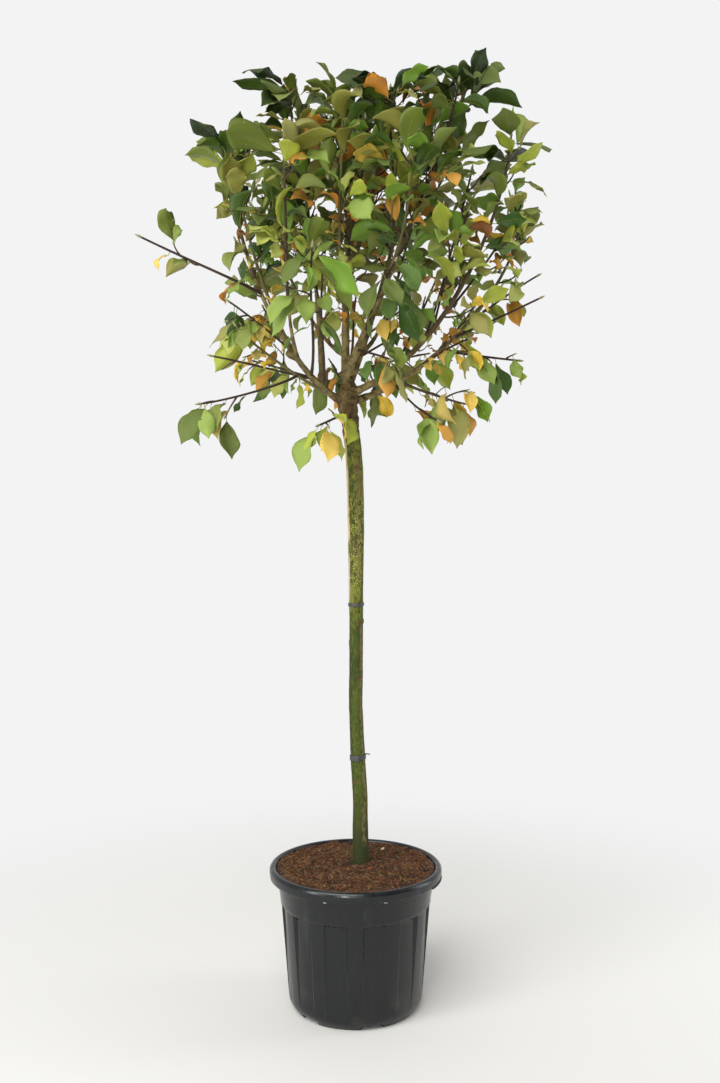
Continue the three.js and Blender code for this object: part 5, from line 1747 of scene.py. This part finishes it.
def build_crumbs():
    """Crumbs of peat and bark, each a rough octahedron, and two chips of wood."""
    draw = np.random.default_rng(SEEDS["crumbs"])
    pile = Pile()
    corners = np.array([(1, 0, 0), (-1, 0, 0), (0, 1, 0), (0, -1, 0), (0, 0, 1), (0, 0, -1)], float)
    faces = [(0, 2, 4), (2, 1, 4), (1, 3, 4), (3, 0, 4), (2, 0, 5), (1, 2, 5), (3, 1, 5), (0, 3, 5)]
    for _ in range(CRUMBS):
        x, y = scattered(draw, CRUMB_MARGIN)
        size = draw.uniform(*CRUMB_SIZES) * (LUMP_SIZE if draw.random() < LUMP_SHARE else 1)
        shape = corners * draw.uniform(*CRUMB_CORNERS, (6, 1)) * size * CRUMB_SQUASH
        turn = draw.uniform(0, 2 * math.pi)
        spin = np.array([spoke(turn), np.cross(UP, spoke(turn)), UP])
        level = min(soil_level(x, y), POT_HEIGHT + 1)
        slot = int(draw.integers(0, CRUMB_KINDS))
        pile.add(shape @ spin + (x, y, level), triangles=faces, slot=slot)
    outward, sideways = (unit(np.array(way)) for way in CHIP_WAYS)
    for slot, (x, y, half) in enumerate(CHIPS, CRUMB_KINDS):
        place = np.array([x, y, soil_level(x, y) + CHIP_CLEAR])
        add_rounded_block(pile, place, outward, sideways, half, slot)
    materials = small_materials("crumb", CRUMB_TONES)
    mount(pile.mesh("soil_crumbs", materials, flat_slots=range(CRUMB_KINDS)), "soil")


# ---------------------------------------------------------------- ties

# Each band: the solid it stands for, its tilt, its buckle's azimuth, and if a tail hangs out.
TIES = {"lower_tie_band": ("lower_tie", 1.5, -95, True),
        "upper_tie_band": ("upper_tie", 0.8, -85, False)}
# A band's section, as shares out from its middle and up.
TIE_SECTION = ((-0.5, -1), (0.3, -1), (1, -0.7), (1, 0.7), (0.3, 1), (-0.5, 1))
TIE_THICKNESS = 1.1
TIE_GAP = 1.4                          # between the stem and the middle of the band
TIE_TURNS = 1.06                       # it overlaps itself
TIE_STEPS = 72
TIE_FILL = 0.92                        # its width, of the solid's
OVERLAP = (0.9, 1.0)                   # share of its length over which the end steps off
OVERLAP_STEP = 1.5                     # the stem, and how far
BUCKLE_OUT = 4.6                       # its middle, from the stem
BUCKLE_HALF = (2.0, 5.5, 1.1)          # half depth, half width and height, of the band's
TAIL_TURN = math.radians(-25)
TAIL_CLEAR = 2                         # above the band
TAIL_LINE = ((0, -5), (3, 1), (9, 1.5), (17, 1))   # out from the stem and up
TAIL_RADII = (2.0, 2.0, 1.8, 1.4)


def build_tie(name, node, tilt, buckle_azimuth, tail):
    """A soft band round the stem with an overlapping end and a small buckle."""
    low, high = (np.array(corner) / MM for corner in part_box(node))
    height = (low[2] + high[2]) / 2
    width = high[2] - low[2]
    centre = trunk_point(height)
    buckle_turn = math.radians(buckle_azimuth)
    rings = []
    for i in range(TIE_STEPS + 1):
        angle = buckle_turn + 2 * math.pi * TIE_TURNS * i / TIE_STEPS
        step = OVERLAP_STEP * smooth_step(*OVERLAP, i / TIE_STEPS)
        radius = trunk_radius(height) + TIE_GAP + step
        slope = tilt * math.cos(angle)
        rings += [(centre[0] + (radius + TIE_THICKNESS * out) * math.cos(angle),
                   centre[1] + (radius + TIE_THICKNESS * out) * math.sin(angle),
                   height + slope + width / 2 * up * TIE_FILL) for out, up in TIE_SECTION]
    pile = Pile()
    sides = len(TIE_SECTION)
    pile.add(rings, grid_faces(TIE_STEPS + 1, sides), flat_caps(TIE_STEPS + 1, sides)[:, [0, 2, 1]])
    outward = spoke(buckle_turn)
    block = centre + outward * (trunk_radius(height) + BUCKLE_OUT)
    deep, wide, tall = BUCKLE_HALF
    add_rounded_block(pile, block, outward, np.cross(UP, outward), (deep, wide, width / 2 * tall))
    if tail:
        side = spoke(TAIL_TURN)
        foot = centre + side * trunk_radius(height) + UP * (width / 2 + TAIL_CLEAR)
        pile.tube([foot + side * out + UP * up for out, up in TAIL_LINE], TAIL_RADII,
                  BAR_SIDES["tie_tail"])
    shader = Shader(name + "_rubber", tone(58, 60, 60), 0.5)
    shader.roughness(shader.noise(220, 3), 0.45, 0.7)
    shader.bump((shader.noise(900, 3), 0.2))
    mount(pile.mesh(name, [shader.material]), "tie", node)


# A block's rings: how far out each is and how far it shrinks; and a ring's corners.
BLOCK_RINGS = ((-1, 0.82), (-0.7, 1), (0.7, 1), (1, 0.82))
BLOCK_CORNERS = ((-1, -0.8), (-0.8, -1), (0.8, -1), (1, -0.8), (1, 0.8), (0.8, 1), (-0.8, 1),
                 (-1, 0.8))


def add_rounded_block(pile, centre, outward, sideways, half, slot=0):
    """A small block with chamfered rims."""
    deep, wide, high = half
    points = [centre + outward * deep * out + sideways * wide * shrink * side
              + UP * high * shrink * up for out, shrink in BLOCK_RINGS
              for side, up in BLOCK_CORNERS]
    rows, columns = len(BLOCK_RINGS), len(BLOCK_CORNERS)
    pile.add(points, grid_faces(rows, columns), flat_caps(rows, columns), slot)


# ---------------------------------------------------------------- studio

CAMERA_PLACE = (0.012, -3.117, 1.422)
CAMERA_PITCH = 2.463                   # degrees below level
CAMERA_LENS = 37.755
SENSOR_WIDTH = 36
CAMERA_CLIP = 0.05
FLOOR_SIZE = 60.0
FLOOR_TONE = tone(214, 213, 208)
FLOOR_FADE = (0.4, 2.4)                # metres from the pot where it takes the wall's tone
WALL_TONE = tone(243, 243, 244)
ROOM_LIGHT = (0.16, 0.78)              # in front of the tree and behind it
ROOM_GRADE = (-0.8, 0.8)               # where the one begins to pass into the other
# Suns, even and soft: the way each shines, its strength and how many degrees wide it is.
SUNS = {"key": ((0.35, 0.75, -1.0), 2.3, 45), "front": ((0.1, 1.0, -0.15), 0.5, 40)}
# Tall panels of light that stand upright and face the tree: place, size and power.
SOFTBOXES = {
    "left_box": ((-2.2, -1.6, 1.4), (0.8, 2.4), 34),
    "right_box": ((2.4, 0.3, 1.3), (0.7, 2.2), 18),
    "front_box": ((-0.7, -3.3, 0.7), (0.24, 1.8), 30),
}
SOFTBOX_TILT = -0.3


def floor_material():
    """Pale and plain; further off it glows in the wall's tone, so no edge is seen there."""
    shader = Shader("floor_pale", FLOOR_TONE, 0.8, FLOOR_SPECULAR)
    away = shader.add("VectorMath", {0: shader.place}, operation="LENGTH").outputs["Value"]
    glow = shader.add("Emission", {"Color": WALL_TONE})
    either = shader.add("MixShader", {0: shader.spread(away, *FLOOR_FADE),
                                      1: shader.surface.outputs[0], 2: glow.outputs[0]})
    output = shader.tree.nodes["Material Output"]
    fill(shader.tree, output.inputs["Surface"], either.outputs[0])
    return shader.material


def build_world():
    """Light from all around, stronger from behind; the camera itself sees a pale wall."""
    world = bpy.data.worlds.new("studio")
    bpy.context.scene.world = world
    world.use_nodes = True
    tree = world.node_tree
    toward = add_node(tree, "TexCoord", {}).outputs["Generated"]
    depth = add_node(tree, "SeparateXYZ", {"Vector": toward}).outputs["Y"]
    grade = add_node(tree, "MapRange", {
        "Value": depth, "From Min": ROOM_GRADE[0], "From Max": ROOM_GRADE[1],
        "To Min": ROOM_LIGHT[0], "To Max": ROOM_LIGHT[1]})
    room = tree.nodes["Background"]
    fill(tree, room.inputs["Color"], tone(255, 255, 255))
    fill(tree, room.inputs["Strength"], grade.outputs["Result"])
    wall = add_node(tree, "Background", {"Color": WALL_TONE})
    seen = add_node(tree, "LightPath", {}).outputs["Is Camera Ray"]
    either = add_node(tree, "MixShader", {0: seen, 1: room.outputs[0], 2: wall.outputs[0]})
    fill(tree, tree.nodes["World Output"].inputs["Surface"], either.outputs[0])


def add_lamp(name, kind, power, way):
    """A lamp of one kind, turned to shine one way."""
    light = bpy.data.lights.new(name, kind)
    light.energy = power
    lamp = new_object(name, light)
    lamp.rotation_euler = Vector(way).to_track_quat("-Z", "Y").to_euler()
    return lamp


def build_studio():
    """The camera, the floor and the lights."""
    camera = new_object("camera", bpy.data.cameras.new("camera"))
    camera.location = CAMERA_PLACE
    camera.rotation_euler = (math.radians(90 - CAMERA_PITCH), 0, 0)
    camera.data.lens = CAMERA_LENS
    camera.data.sensor_width = SENSOR_WIDTH
    camera.data.sensor_fit = "AUTO"
    camera.data.clip_start = CAMERA_CLIP
    bpy.context.scene.camera = camera

    bpy.ops.mesh.primitive_plane_add(size=FLOOR_SIZE)
    floor = bpy.context.object
    floor.name = "floor"
    floor.data.materials.append(floor_material())

    build_world()
    for name, (way, power, spread) in SUNS.items():
        add_lamp(name, "SUN", power, way).data.angle = math.radians(spread)
    for name, (place, size, power) in SOFTBOXES.items():
        lamp = add_lamp(name, "AREA", power, (-place[0], -place[1], SOFTBOX_TILT))
        lamp.data.shape = "RECTANGLE"
        lamp.data.size, lamp.data.size_y = size
        lamp.location = place
        lamp.visible_camera = False
    bpy.context.scene.view_settings.view_transform = "Standard"


# ---------------------------------------------------------------- the whole plant

wand_barks = small_materials("wand_bark", WAND_TONES, *WAND_FINISH)
limbs = settle_limbs()
space = CrownSpace(limbs)
placed = []
masses = [Mass(limb, space, placed).grow() for limb in limbs.values()]

build_trunk(limbs)
build_boughs(limbs, wand_barks)
build_stems(masses, wand_barks)
build_leaves(masses)
build_buds(masses)
build_pot()
build_soil()
build_fibres()
build_crumbs()
for name, tie in TIES.items():
    build_tie(name, *tie)
build_studio()
